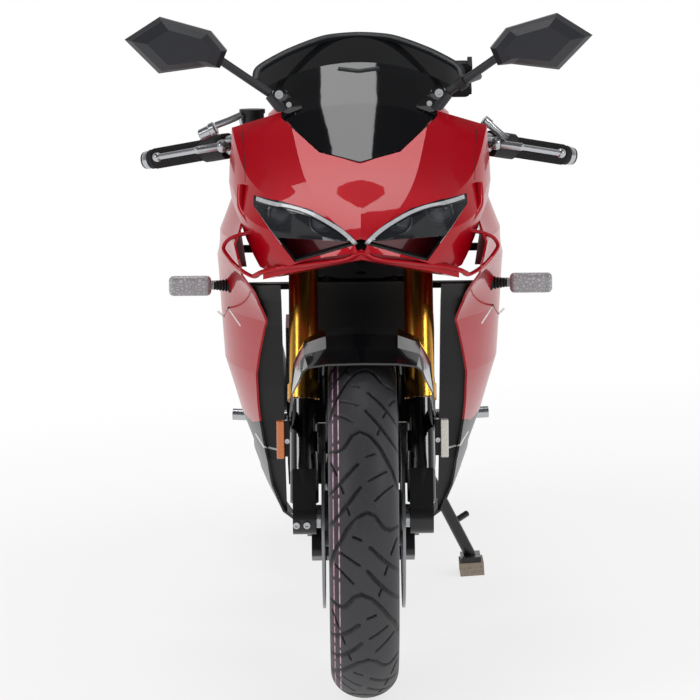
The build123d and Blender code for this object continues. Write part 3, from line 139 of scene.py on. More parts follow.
@dataclass(frozen=True)
class Finish:
    """A real finish: its colours, its gloss and the pattern its making leaves."""

    name: str
    colour: str
    second: str
    texture: Texture
    scale_mm: float
    roughness: float
    metallic: float = 0.0
    swing: float = 0.06
    bump_mm: float = 0.02
    coat: float = 0.0
    coat_roughness: float = 0.03
    ior: float = 1.5
    alpha: float = 1.0
    specular: float = 0.5

    def pattern(self, tree: bpy.types.NodeTree, place: bpy.types.NodeSocket) -> bpy.types.NodeSocket:
        """Adds the nodes of the surface's pattern.

        Args:
            tree: The material's node tree.
            place: Object coordinates, in metres.

        Returns:
            A value socket from 0 to 1.
        """
        scale = 1000.0 / self.scale_mm
        if self.texture is Texture.FLAKE:
            return add(tree, "ShaderNodeTexVoronoi", {"Vector": place, "Scale": scale}).outputs["Distance"]
        if self.texture is Texture.BRUSHED:
            stretched = add(tree, "ShaderNodeMapping", {"Vector": place, "Scale": (0.06, 1.0, 1.0)})
            return add(tree, "ShaderNodeTexNoise", {
                "Vector": stretched.outputs[0], "Scale": scale, "Detail": 3.0}).outputs["Fac"]
        if self.texture is Texture.HIDE:
            cells = add(tree, "ShaderNodeTexVoronoi", {"Vector": place, "Scale": scale},
                        feature="DISTANCE_TO_EDGE")
            return add(tree, "ShaderNodeMath", {0: cells.outputs["Distance"], 1: 2.5}, operation="MULTIPLY",
                       use_clamp=True).outputs[0]
        detail = {Texture.GRAIN: 4.0, Texture.CAST: 6.0, Texture.SMOOTH: 1.0}[self.texture]
        return add(tree, "ShaderNodeTexNoise", {
            "Vector": place, "Scale": scale, "Detail": detail}).outputs["Fac"]

    def surface(self, tree: bpy.types.NodeTree, place: bpy.types.NodeSocket, value: bpy.types.NodeSocket,
                shader: bpy.types.Node) -> None:
        """Links the colour; finishes with a colour of their own kind change this.

        Args:
            tree: The material's node tree.
            place: Object coordinates, in metres; not used here.
            value: The pattern, from 0 to 1.
            shader: The principled shader.
        """
        colour = add(tree, "ShaderNodeMix", {"Factor": value, 6: linear(self.colour), 7: linear(self.second)},
                     data_type="RGBA")
        tree.links.new(colour.outputs[2], shader.inputs["Base Color"])

    def build(self) -> bpy.types.Material:
        """Makes the material, or finds it if it is already made.

        Returns:
            The material.
        """
        material = bpy.data.materials.get(self.name)
        if material:
            return material
        material = bpy.data.materials.new(self.name)
        material.use_nodes = True
        tree = material.node_tree
        tree.nodes.clear()
        shader = add(tree, "ShaderNodeBsdfPrincipled", {
            "Metallic": self.metallic, "Coat Weight": self.coat, "Coat Roughness": self.coat_roughness,
            "Alpha": self.alpha, "Specular IOR Level": self.specular})
        if self.metallic < 0.5:
            shader.inputs["IOR"].default_value = self.ior
        place = add(tree, "ShaderNodeTexCoord").outputs["Object"]
        value = self.pattern(tree, place)
        low, high = max(self.roughness - self.swing, 0.02), min(self.roughness + self.swing, 1.0)
        rough = add(tree, "ShaderNodeMapRange", {"Value": value, "To Min": low, "To Max": high})
        tree.links.new(rough.outputs[0], shader.inputs["Roughness"])
        if self.bump_mm:
            bump = add(tree, "ShaderNodeBump", {
                "Height": value, "Distance": self.bump_mm / 1000, "Strength": 0.8})
            tree.links.new(bump.outputs[0], shader.inputs["Normal"])
        self.surface(tree, place, value, shader)
        add(tree, "ShaderNodeOutputMaterial", {"Surface": shader.outputs[0]})
        return material


# Paint lines on one shoulder of the front tyre: across and half width in mm, colour, whether it runs on
PAINT_LINES = ((-43.0, 6.5, "#3A2036", True), (-47.5, 0.9, "#D9A8BC", False), (-38.8, 0.9, "#E3C4CE", False))
# The dashes of a line that doesn't run on: half their spacing, and where a dash fades in, along the crown
DASH_MM = 23.0
DASH_FADE_MM = (2.0, 5.0)
PAINT_STRENGTH = 1.45
# Near-black mixed into the rubber by groove depth: painted shade inside the tread's grooves
GROOVE_SHADE_COLOUR = "#060607"


@dataclass(frozen=True)
class TreadFinish(Finish):
    """Road tyre rubber: grooves darkened with painted shade, and paint lines on one shoulder."""

    lines: bool = True

    def surface(self, tree: bpy.types.NodeTree, place: bpy.types.NodeSocket, value: bpy.types.NodeSocket,
                shader: bpy.types.Node) -> None:
        """Draws the paint lines and paints shade into the grooves, from the tyre's own attributes.

        Args:
            tree: The material's node tree.
            place: Object coordinates, in metres.
            value: The pattern, from 0 to 1.
            shader: The principled shader.
        """
        rubber = add(tree, "ShaderNodeMix", {"Factor": value, 6: linear(self.colour), 7: linear(self.second)},
                     data_type="RGBA").outputs[2]
        if self.lines:
            rubber = self.paint(tree, place, rubber)
        # The groove depth mixes the rubber towards near-black: painted shade in the grooves
        groove = add(tree, "ShaderNodeAttribute", attribute_name="groove").outputs["Fac"]
        rubber = add(tree, "ShaderNodeMix", {"Factor": groove, 6: rubber, 7: linear(GROOVE_SHADE_COLOUR)},
                     data_type="RGBA").outputs[2]
        tree.links.new(rubber, shader.inputs["Base Color"])

    def paint(self, tree: bpy.types.NodeTree, place: bpy.types.NodeSocket,
              rubber: bpy.types.NodeSocket) -> bpy.types.NodeSocket:
        """Draws the paint lines over the rubber, worn by noise.

        Args:
            tree: The material's node tree.
            place: Object coordinates, in metres.
            rubber: The bare rubber's colour.

        Returns:
            The colour with the lines on it.
        """
        across = add(tree, "ShaderNodeAttribute", attribute_name="across_mm").outputs["Fac"]
        around = add(tree, "ShaderNodeAttribute", attribute_name="around_mm").outputs["Fac"]
        wear = add(tree, "ShaderNodeTexNoise", {
            "Vector": place, "Scale": 120.0, "Detail": 2.0}).outputs["Fac"]
        dash = add(tree, "ShaderNodeMath", {0: around, 1: DASH_MM}, operation="PINGPONG").outputs[0]
        dash = add(tree, "ShaderNodeMapRange", {
            "Value": dash, "From Min": DASH_FADE_MM[0], "From Max": DASH_FADE_MM[1]}).outputs[0]
        for middle, half, colour, runs_on in PAINT_LINES:
            off = add(tree, "ShaderNodeMath", {0: across, 1: middle}, operation="SUBTRACT").outputs[0]
            off = add(tree, "ShaderNodeMath", {0: off}, operation="ABSOLUTE").outputs[0]
            near = add(tree, "ShaderNodeMath", {0: off, 1: half}, operation="LESS_THAN").outputs[0]
            for share in (wear,) if runs_on else (dash, wear):
                near = add(tree, "ShaderNodeMath", {0: near, 1: share}, operation="MULTIPLY").outputs[0]
            near = add(tree, "ShaderNodeMath", {0: near, 1: PAINT_STRENGTH}, operation="MULTIPLY",
                       use_clamp=True).outputs[0]
            rubber = add(tree, "ShaderNodeMix", {"Factor": near, 6: rubber, 7: linear(colour)},
                         data_type="RGBA").outputs[2]
        return rubber


@dataclass(frozen=True)
class WoodFinish(Finish):
    """Weathered sawn softwood: grey-brown with growth lines along the block."""

    def surface(self, tree: bpy.types.NodeTree, place: bpy.types.NodeSocket, value: bpy.types.NodeSocket,
                shader: bpy.types.Node) -> None:
        """Adds growth lines a few millimetres apart, bent by slow noise, and dust.

        Args:
            tree: The material's node tree.
            place: Object coordinates, in metres.
            value: The pattern, from 0 to 1.
            shader: The principled shader.
        """
        lines = add(tree, "ShaderNodeTexWave", {
            "Vector": place, "Scale": 38.0, "Distortion": 3.5, "Detail": 3.0, "Detail Scale": 2.0},
            bands_direction="Z").outputs["Fac"]
        grain = add(tree, "ShaderNodeMix", {"Factor": lines, 6: linear(self.colour), 7: linear(self.second)},
                    data_type="RGBA").outputs[2]
        dust = add(tree, "ShaderNodeMix", {"Factor": value, 6: grain, 7: linear("#BDB2A4")}, data_type="RGBA")
        tree.links.new(dust.outputs[2], shader.inputs["Base Color"])


# Metallic lacquered bodywork: fine flake under clear coat, deep red that brightens where it faces the light
RED_PAINT = Finish("candy_red_lacquer", "#A00014", "#B80018", Texture.FLAKE, 0.9, 0.40, metallic=0.25,
                   bump_mm=0.0, coat=0.5, coat_roughness=0.02, specular=0.1)
# Red paint in the lamp recess and lip, darkened as painted shade: the bodywork's red lacquer in the lower
# tone it shows in the recess's shade
RED_PAINTED_SHADE = Finish("red_lacquer_shaded", "#5A0612", "#6C0A18", Texture.FLAKE, 0.9, 0.34, metallic=0.4,
                  bump_mm=0.0, coat=1.0)
# Gloss black moulding with clear coat: reads by its reflections only
BLACK_GLOSS = Finish("gloss_black_abs", "#08080A", "#0D0D10", Texture.SMOOTH, 40.0, 0.12, swing=0.03,
                     bump_mm=0.0, coat=0.8)
# Gloss dark grey lower fairing
BELLY_GREY = Finish("gloss_graphite_abs", "#101114", "#16171A", Texture.FLAKE, 1.2, 0.30, bump_mm=0.0,
                    specular=0.3)
# Moulded nylon and polypropylene: fine grain, low sheen
BLACK_PLASTIC = Finish("grained_black_nylon", "#141416", "#1C1C1F", Texture.GRAIN, 1.6, 0.55, bump_mm=0.05)
# Satin powder coat on steel and aluminium: slight orange peel
BLACK_METAL = Finish("satin_black_powder_coat", "#101012", "#18181B", Texture.CAST, 2.2, 0.38, bump_mm=0.03,
                     coat=0.2, coat_roughness=0.2)
# Gold anodised fork tube: drawn lines round the tube
GOLD = Finish("gold_anodised_aluminium", "#C98A2B", "#E0AA4C", Texture.BRUSHED, 1.2, 0.24, metallic=1.0,
              bump_mm=0.004)
# Machined and tumbled aluminium
BRIGHT_METAL = Finish("machined_aluminium", "#B4B6BA", "#CBCCD0", Texture.BRUSHED, 0.9, 0.28, metallic=1.0,
                      bump_mm=0.004)
# Ground stainless brake rotor
DISC_STEEL = Finish("ground_rotor_steel", "#8D8F93", "#A9ABAE", Texture.BRUSHED, 0.6, 0.30, metallic=1.0,
                    bump_mm=0.004)
# Hard chromed stanchion
CHROME = Finish("hard_chrome", "#D8DADD", "#E4E5E8", Texture.SMOOTH, 30.0, 0.08, metallic=1.0, swing=0.02,
                bump_mm=0.0)
# Road tyre rubber, slightly greyed by dust; fine skin grain
TREAD = TreadFinish("road_tyre_rubber", "#2A2A2D", "#3B3B3F", Texture.GRAIN, 3.0, 0.52, bump_mm=0.04,
                    swing=0.1)
REAR_TREAD = TreadFinish("road_tyre_rubber_plain", "#2A2A2D", "#3B3B3F", Texture.GRAIN, 3.0, 0.52,
                         bump_mm=0.04, swing=0.1, lines=False)
# Soft grip rubber
RUBBER = Finish("soft_grip_rubber", "#0E0E0F", "#151517", Texture.GRAIN, 1.4, 0.72, bump_mm=0.04)
# Smoked acrylic screen: dark, see-through only at a glance
SCREEN = Finish("smoked_acrylic", "#07080A", "#0B0C0F", Texture.SMOOTH, 60.0, 0.05, swing=0.01,
                bump_mm=0.0, ior=1.49, alpha=0.97)
# Clear polycarbonate lamp cover, slightly grey
LENS = Finish("clear_polycarbonate", "#2C2E33", "#34363B", Texture.SMOOTH, 50.0, 0.05, swing=0.01,
              bump_mm=0.0, ior=1.58, alpha=0.34)
# Clear indicator lens with prism texture
CLEAR_LENS = Finish("prismatic_clear_lens", "#8E8E92", "#C4C4C8", Texture.HIDE, 6.0, 0.12, bump_mm=0.5,
                    coat=0.6, ior=1.58)
# Red acrylic tail lens
TAIL_LENS = Finish("red_acrylic_lens", "#6E0508", "#A30A10", Texture.HIDE, 5.0, 0.10, bump_mm=0.4, coat=1.0)
# Embossed vinyl seat hide, 2.2 mm pebbles
VINYL = Finish("embossed_black_vinyl", "#0D0D0E", "#1B1B1D", Texture.HIDE, 2.2, 0.58, bump_mm=0.12)
# Die-cast engine alloy under grey heat paint
CAST_ALLOY = Finish("painted_cast_alloy", "#2B2C2F", "#3A3B3F", Texture.CAST, 3.0, 0.55, metallic=0.4,
                    bump_mm=0.08)
# Brushed stainless exhaust, slightly straw tinted
STAINLESS = Finish("brushed_stainless", "#8A8780", "#A5A29A", Texture.BRUSHED, 1.0, 0.32, metallic=1.0,
                   bump_mm=0.006)
# Sawn softwood block, grey-brown with age
WOOD = WoodFinish("weathered_softwood", "#7A6654", "#94826F", Texture.GRAIN, 5.0, 0.85, bump_mm=0.25)
# Amber and white reflectors: prism cells behind a flat face
AMBER = Finish("amber_reflector", "#D96A10", "#F08A2A", Texture.HIDE, 2.4, 0.15, bump_mm=0.1, coat=1.0)
WHITE_REFLECTOR = Finish("white_reflector", "#D6D2C8", "#F4F1EA", Texture.HIDE, 2.4, 0.15, bump_mm=0.1,
                         coat=1.0)
# Grey-white light guide along the lamp's top edge
LIGHT_GUIDE = Finish("frosted_light_guide", "#9A9CA0", "#C8CACE", Texture.SMOOTH, 8.0, 0.25, bump_mm=0.0,
                     coat=0.5)
# White film stripe on the panels
WHITE_FILM = Finish("white_vinyl_film", "#E6E3E1", "#F4F2F0", Texture.SMOOTH, 20.0, 0.3, bump_mm=0.0)
# Silvered mirror glass
MIRROR_GLASS = Finish("silvered_glass", "#E8EAEC", "#F0F1F3", Texture.SMOOTH, 80.0, 0.03, metallic=1.0,
                      swing=0.01, bump_mm=0.0)
# Dark chromed rim round each projector
LAMP_RIM = Finish("smoked_chrome", "#7C7E84", "#909298", Texture.SMOOTH, 20.0, 0.15, metallic=1.0,
                  swing=0.02, bump_mm=0.0)
# The screen's moulded edge and pad: matt against the polished bubble
SCREEN_BAND = Finish("textured_smoked_acrylic", "#17191C", "#1F2226", Texture.GRAIN, 2.0, 0.42, bump_mm=0.02)
# Mirror shells: fine moulded grain with a slight blue-grey bloom
SHELL = Finish("grained_charcoal_abs", "#1E1F24", "#2A2B32", Texture.GRAIN, 1.2, 0.46, bump_mm=0.02)
# Glass projector lens over a dark bowl
PROJECTOR = Finish("projector_lens_glass", "#4A4F58", "#6E747E", Texture.SMOOTH, 9.0, 0.04, swing=0.02,
                   bump_mm=0.0, coat=1.0, ior=1.52)
# Drilled hole seen against the disc: deep shade
HOLE = Finish("drilled_hole_shade", "#060607", "#0B0B0C", Texture.GRAIN, 1.0, 0.8, bump_mm=0.0)
# Twisted polyester seam thread
THREAD = Finish("polyester_thread", "#2A2A2C", "#3C3C3F", Texture.BRUSHED, 0.4, 0.7, bump_mm=0.05)
# Oiled chain steel, darker in the joints
CHAIN_STEEL = Finish("oiled_chain_steel", "#6E6C68", "#8C8A86", Texture.BRUSHED, 0.8, 0.36, metallic=1.0,
                     bump_mm=0.01)

NODE_FINISH: dict[str, Finish] = {
    "front_tyre": TREAD, "rear_tyre": REAR_TREAD, "front_rim": BLACK_METAL, "rear_rim": BLACK_METAL,
    "front_discs": DISC_STEEL, "rear_disc": DISC_STEEL, "rear_sprocket": BRIGHT_METAL,
    "front_axle": BRIGHT_METAL, "fork_feet": BLACK_METAL, "fork_stanchions": CHROME, "fork_tubes": GOLD,
    "lower_yoke": BLACK_METAL,
    "upper_yoke": BLACK_METAL, "handlebars": BLACK_METAL, "grips": RUBBER, "switch_housings": BLACK_PLASTIC,
    "control_levers": BRIGHT_METAL, "brake_reservoir": BLACK_PLASTIC, "phone_holder": BLACK_PLASTIC,
    "front_fender": BLACK_GLOSS, "front_calipers": BLACK_METAL, "main_frame": BLACK_METAL,
    "engine_block": CAST_ALLOY, "radiator": BLACK_METAL, "drive_chain": BRIGHT_METAL, "swingarm": BLACK_METAL,
    "pivot_bolt": BRIGHT_METAL, "rear_axle": BRIGHT_METAL, "rear_caliper": BLACK_METAL,
    "rear_shock": BLACK_METAL,
    "side_fairing_left": RED_PAINT, "side_fairing_right": RED_PAINT, "belly_pan": BELLY_GREY,
    "nose_cowl": RED_PAINT, "headlight_lenses": LENS, "headlight_units": BLACK_PLASTIC, "windscreen": SCREEN,
    "fairing_stay": BLACK_METAL, "instrument_panel": BLACK_PLASTIC, "mirrors": SHELL,
    "front_indicators": CLEAR_LENS, "rear_indicators": CLEAR_LENS, "subframe": BLACK_METAL,
    "fuel_tank": RED_PAINT, "rider_seat": VINYL, "pillion_seat": VINYL, "tail_cowl": RED_PAINT,
    "tail_light": TAIL_LENS, "rear_fender": BLACK_PLASTIC, "exhaust": STAINLESS, "foot_pegs": BRIGHT_METAL,
    # The lamp surrounds and air ducts take the red lacquer darkened as painted shade for the recess
    "side_stand": BLACK_METAL, "stand_block": WOOD, "lamp_surrounds": RED_PAINTED_SHADE, "inner_panels": BLACK_PLASTIC,
    "air_ducts": RED_PAINTED_SHADE,
}


@dataclass
class Workshop:
    """Makes meshes in the drawing frame and turns them into finished pieces."""

    made: list[str] = field(default_factory=list)

    def piece(self, name: str, mesh: bmesh.types.BMesh | bpy.types.Mesh, finish: Finish, body: Body,
              bevel_mm: float = 0.0, replaces: tuple[str, ...] = (),
              smooth: bool = True) -> bpy.types.Object:
        """Turns a drawn mesh into a piece that rides on a body.

        Args:
            name: The piece's name.
            mesh: The mesh, in drawing millimetres if it is a BMesh, else already in place.
            finish: Its finish.
            body: The body it rides on.
            bevel_mm: Width of the edge rounding, if any.
            replaces: CAD nodes that it stands for.
            smooth: Whether its faces shade smooth.

        Returns:
            The finished object.
        """
        if isinstance(mesh, bmesh.types.BMesh):
            bmesh.ops.remove_doubles(mesh, verts=mesh.verts, dist=0.001)
            bmesh.ops.recalc_face_normals(mesh, faces=mesh.faces)
            mesh.transform(DRAWING)
            data = bpy.data.meshes.new(name)
            mesh.to_mesh(data)
            mesh.free()
        else:
            data = mesh
            data.name = name
        if not data.materials:
            data.materials.append(finish.build())
        for polygon in data.polygons:
            polygon.use_smooth = smooth
        made = bpy.data.objects.new(name, data)
        bpy.context.scene.collection.objects.link(made)
        if bevel_mm:
            modifier = made.modifiers.new("edge", "BEVEL")
            modifier.width = bevel_mm / 1000
            modifier.segments = 2
            modifier.limit_method = "ANGLE"
            modifier.harden_normals = True
        if smooth:
            data.set_sharp_from_angle(angle=math.radians(SHARP_DRAWN))
        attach(made, body.value)
        if replaces:
            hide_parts(*replaces)
        self.made.append(name)
        log.info("%s on %s", name, body.value)
        return made

    def plate(self, outline: list[tuple[float, float]], low: float, high: float,
              axis: str) -> bmesh.types.BMesh:
        """Draws a flat plate.

        Args:
            outline: Its corners in the plane across the axis, as (x, z), (y, z) or (x, y).
            low: Where it starts along the axis.
            high: Where it ends.
            axis: X, Y or Z.

        Returns:
            The closed mesh.
        """
        order = {"X": lambda a, b, c: (c, a, b), "Y": lambda a, b, c: (a, c, b),
                 "Z": lambda a, b, c: (a, b, c)}[axis]
        drawn = bmesh.new()
        rings = [[drawn.verts.new(order(a, b, level)) for a, b in outline] for level in (low, high)]
        self.bridge(drawn, rings)
        return drawn

    def bridge(self, drawn: bmesh.types.BMesh, rings: list[list[bmesh.types.BMVert]],
               caps: bool = True) -> None:
        """Joins rings of points with faces.

        Args:
            drawn: The mesh.
            rings: Rings of equally many points.
            caps: Whether the first and last rings are filled.
        """
        count = len(rings[0])
        for near, far in zip(rings, rings[1:]):
            for i in range(count):
                j = (i + 1) % count
                drawn.faces.new((near[i], near[j], far[j], far[i]))
        if caps:
            drawn.faces.new(rings[0])
            drawn.faces.new(list(reversed(rings[-1])))

    def tube(self, points: list[tuple[float, float, float]], radius: float, sides: int = 12,
             drawn: bmesh.types.BMesh | None = None) -> bmesh.types.BMesh:
        """Draws a round tube along points.

        Args:
            points: The centre line.
            radius: The tube's radius.
            sides: How many sides it has.
            drawn: A mesh to add to.

        Returns:
            The mesh.
        """
        drawn = drawn or bmesh.new()
        line = [Vector(p) for p in points]
        side = None
        rings = []
        for i, point in enumerate(line):
            way = (line[min(i + 1, len(line) - 1)] - line[max(i - 1, 0)]).normalized()
            if side is None:
                side = way.orthogonal().normalized()
            side = (side - way * side.dot(way)).normalized()
            other = way.cross(side)
            rings.append([drawn.verts.new(point + radius * (side * math.cos(a) + other * math.sin(a)))
                          for a in (math.tau * k / sides for k in range(sides))])
        self.bridge(drawn, rings)
        return drawn

    def turned(self, start: tuple[float, float, float], way: tuple[float, float, float],
               profile: list[tuple[float, float]], sides: int = 32,
               drawn: bmesh.types.BMesh | None = None) -> bmesh.types.BMesh:
        """Draws a turned part.

        Args:
            start: The point on its axis where heights start.
            way: The axis direction.
            profile: (height, radius) pairs from one end to the other.
            sides: How many sides it has.
            drawn: A mesh to add to.

        Returns:
            The mesh.
        """
        drawn = drawn or bmesh.new()
        along = Vector(way).normalized()
        side = along.orthogonal().normalized()
        other = along.cross(side)
        rings = []
        for height, drawn_radius in profile:
            centre = Vector(start) + along * height
            radius = max(drawn_radius, 0.05)
            rings.append([drawn.verts.new(centre + radius * (side * math.cos(a) + other * math.sin(a)))
                          for a in (math.tau * k / sides for k in range(sides))])
        self.bridge(drawn, rings)
        return drawn

    def curve(self, points: list[tuple[float, float, float]], steps: int = 6) -> list[Vector]:
        """Runs a smooth line through points.

        Args:
            points: The points it goes through.
            steps: How many steps it takes from one to the next.

        Returns:
            The line's points.
        """
        line = [Vector(p) for p in points]
        smooth = []
        for i, (near, far) in enumerate(zip(line, line[1:])):
            before = line[i - 1] if i else near * 2 - far
            after = line[i + 2] if i + 2 < len(line) else far * 2 - near
            for step in range(steps):
                t = step / steps
                smooth.append(0.5 * (2 * near + (far - before) * t
                                     + (2 * before - 5 * near + 4 * far - after) * t * t
                                     + (3 * near - before - 3 * far + after) * t ** 3))
        return smooth + [line[-1]]

    def ribbon(self, line: list[tuple[Vector, Vector]], section: list[tuple[float, float]],
               drawn: bmesh.types.BMesh | None = None, closed: bool = False) -> bmesh.types.BMesh:
        """Draws a strip with one section along a line that lies on a surface.

        Args:
            line: (point, normal) pairs.
            section: (across, up) pairs round the strip's section.
            drawn: A mesh to add to.
            closed: Whether the line runs round.

        Returns:
            The mesh.
        """
        drawn = drawn or bmesh.new()
        rings = []
        count = len(line)
        for i, (point, normal) in enumerate(line):
            before = line[i - 1][0] if closed or i else point
            after = line[(i + 1) % count][0] if closed or i + 1 < count else point
            way = (after - before).normalized()
            side = way.cross(normal).normalized()
            up = side.cross(way)
            rings.append([drawn.verts.new(point + side * a + up * b) for a, b in section])
        if closed:
            rings.append(rings[0])
        self.bridge(drawn, rings, caps=not closed)
        return drawn

    def flat(self, width: float, height: float) -> list[tuple[float, float]]:
        """Gives a flat strip's section."""
        return [(-width / 2, -0.5), (width / 2, -0.5), (width / 2, height), (-width / 2, height)]

    def bead(self, width: float, height: float, steps: int = 8) -> list[tuple[float, float]]:
        """Gives a rounded bead's section, sunk a little into what carries it."""
        arc = [(width / 2 * math.cos(math.pi * k / steps), height * math.sin(math.pi * k / steps))
               for k in range(steps + 1)]
        return [(-width / 2, -1.5), (width / 2, -1.5)] + arc

    def block(self, low: tuple[float, float, float],
              high: tuple[float, float, float]) -> bmesh.types.BMesh:
        """Draws a box.

        Args:
            low: Its low corner.
            high: Its high corner.

        Returns:
            The mesh.
        """
        corners = [(low[0], low[1]), (high[0], low[1]), (high[0], high[1]), (low[0], high[1])]
        return self.plate(corners, low[2], high[2], "Z")

    def mirrored(self, drawn: bmesh.types.BMesh) -> bmesh.types.BMesh:
        """Adds the same shape on the other side of the bike.

        Args:
            drawn: The left side's mesh.

        Returns:
            The mesh with both sides.
        """
        copied = bmesh.ops.duplicate(drawn, geom=drawn.verts[:] + drawn.edges[:] + drawn.faces[:])["geom"]
        new_verts = [g for g in copied if isinstance(g, bmesh.types.BMVert)]
        for vert in new_verts:
            vert.co.x = -vert.co.x
        return drawn


@dataclass
class Tread:
    """A tyre with its tread cut in: the pattern is a glide reflection repeated round the crown."""

    name: str
    node: str
    body: Body
    centre: tuple[float, float, float]
    radius: float
    width: float
    rim_width: float
    finish: Finish
    repeats: int = 7
    steps: int = 840
    depth_mm: float = 3.2
    # How wide a groove's sloping bank is, half of it inside the groove's half width
    bank_mm: float = 1.4
    # How far the crown's arc drops to the shoulders, and down to where it can be cut, as shares of the radius
    crown_drop: float = 0.155
    cut_drop: float = 0.16
    # (across, along) points of each stroke in millimetres, and its half width
    strokes: tuple = (
        (2.7, ((52, 92), (44, 62), (26, 27), (11, 8), (-5, 0), (-17, 6), (-24, 17), (-30, 25), (-39, 29),
               (-50, 24))),
        (2.6, ((54, 24), (5, -38))), (2.6, ((54, -29), (9, -76))),
        (1.3, ((-17, -18), (-45, -45))), (1.3, ((-7, -48), (-35, -66))), (1.5, ((-4, -88), (-17, -93))),
        (1.3, ((22, 4), (28, -14))), (1.3, ((31, -30), (37, -48))), (1.3, ((41, -62), (50, -87))),
    )

    def profile(self) -> list[tuple[float, float]]:
        """Gives the tyre's outer section from bead to bead.

        Returns:
            (across, radius) pairs, close together on the crown.
        """
        half, crown = self.width / 2, self.radius
        drop = self.radius * self.crown_drop
        points = []
        for step in range(-44, 45):
            angle = math.radians(step * 2.0)
            points.append((half * math.sin(angle), crown - drop + drop * math.cos(angle)))
        rim_half = self.rim_width / 2
        side = [(half * 0.995, crown - drop - 14), (half * 0.96, crown - drop - 26), (rim_half + 3, 229.0),
                (rim_half - 2, 221.0)]
        return [(-a, r) for a, r in reversed(side)] + points + side

    def groove(self, across: float, along: float) -> float:
        """Tells how deep the tread is cut at a place.

        Args:
            across: Millimetres from the centre plane.
            along: Millimetres round the crown.

        Returns:
            0 on the rubber's surface, 1 at the bottom of a groove.
        """
        pitch = math.tau * self.radius / self.repeats
        deepest = 0.0
        for sign, offset in ((1, 0.0), (-1, pitch / 2)):
            x = across * sign
            y = (along - offset + pitch / 2) % pitch - pitch / 2
            for half, points in self.strokes:
                for shift in (-pitch, 0.0, pitch):
                    for start, end in zip(points, points[1:]):
                        a = Vector((start[0], start[1] + shift, 0))
                        b = Vector((end[0], end[1] + shift, 0))
                        if abs(y - (a.y + b.y) / 2) > abs(a.y - b.y) / 2 + 8:
                            continue
                        near, share = intersect_point_line(Vector((x, y, 0)), a, b)
                        near = a.lerp(b, min(max(share, 0.0), 1.0))
                        gap = (Vector((x, y, 0)) - near).length
                        share = (half + self.bank_mm / 2 - gap) / self.bank_mm
                        deepest = max(deepest, min(1.0, max(0.0, share)))
        return deepest

    def build(self, shop: Workshop) -> None:
        """Makes the tyre and puts it in place of the plain one.

        Args:
            shop: The workshop.
        """
        profile = self.profile()
        count = len(profile)
        pitch_steps = self.steps // self.repeats
        arc = math.tau * self.radius / self.steps
        table = []
        for step in range(pitch_steps):
            row = []
            for across, radius in profile:
                on_crown = radius > self.radius - self.radius * self.cut_drop
                row.append(self.groove(across, step * arc) if on_crown else 0.0)
            table.append(row)
        drawn = bmesh.new()
        # The groove depth cuts the tread and also sets the painted shade in the tyre's material
        cut = drawn.verts.layers.float.new("groove")
        across_layer = drawn.verts.layers.float.new("across_mm")
        around_layer = drawn.verts.layers.float.new("around_mm")
        centre = Vector(self.centre)
        rings = []
        for step in range(self.steps):
            angle = -math.tau * step / self.steps
            out = Vector((0.0, math.sin(angle), math.cos(angle)))
            ring = []
            for (across, radius), deep in zip(profile, table[step % pitch_steps]):
                depth = self.depth_mm * deep
                vert = drawn.verts.new(centre + Vector((across, 0, 0)) + out * (radius - depth))
                vert[cut] = deep
                vert[across_layer] = across
                vert[around_layer] = step * arc
                ring.append(vert)
            rings.append(ring)
        rings.append(rings[0])
        self.join(drawn, rings, count)
        drawn.normal_update()
        shop.piece(self.name, drawn, self.finish, self.body, replaces=(self.node,))

    def join(self, drawn: bmesh.types.BMesh, rings: list[list[bmesh.types.BMVert]], count: int) -> None:
        """Joins the rings round the wheel and closes the tyre inside, next to the rim.

        Args:
            drawn: The mesh.
            rings: One row of points for each step round the wheel.
            count: How many points a row has.
        """
        for near, far in zip(rings, rings[1:]):
            for i in range(count):
                drawn.faces.new((near[i], far[i], far[(i + 1) % count], near[(i + 1) % count]))


class Shape(Enum):
    """The small shapes that one node tree repeats."""

    HEAD = "screw head with a hexagon socket"
    ROUND = "short cylinder"
    BLOCK = "block"
    PLATE = "two round ends joined by a bar"
    SEED = "rounded grain"


@dataclass(frozen=True)
class Mark:
    """Where one repeated shape goes: its place, the way its height points and the way its length points."""

    place: tuple[float, float, float]
    up: tuple[float, float, float]
    along: tuple[float, float, float] = (0.0, 0.0, 1.0)


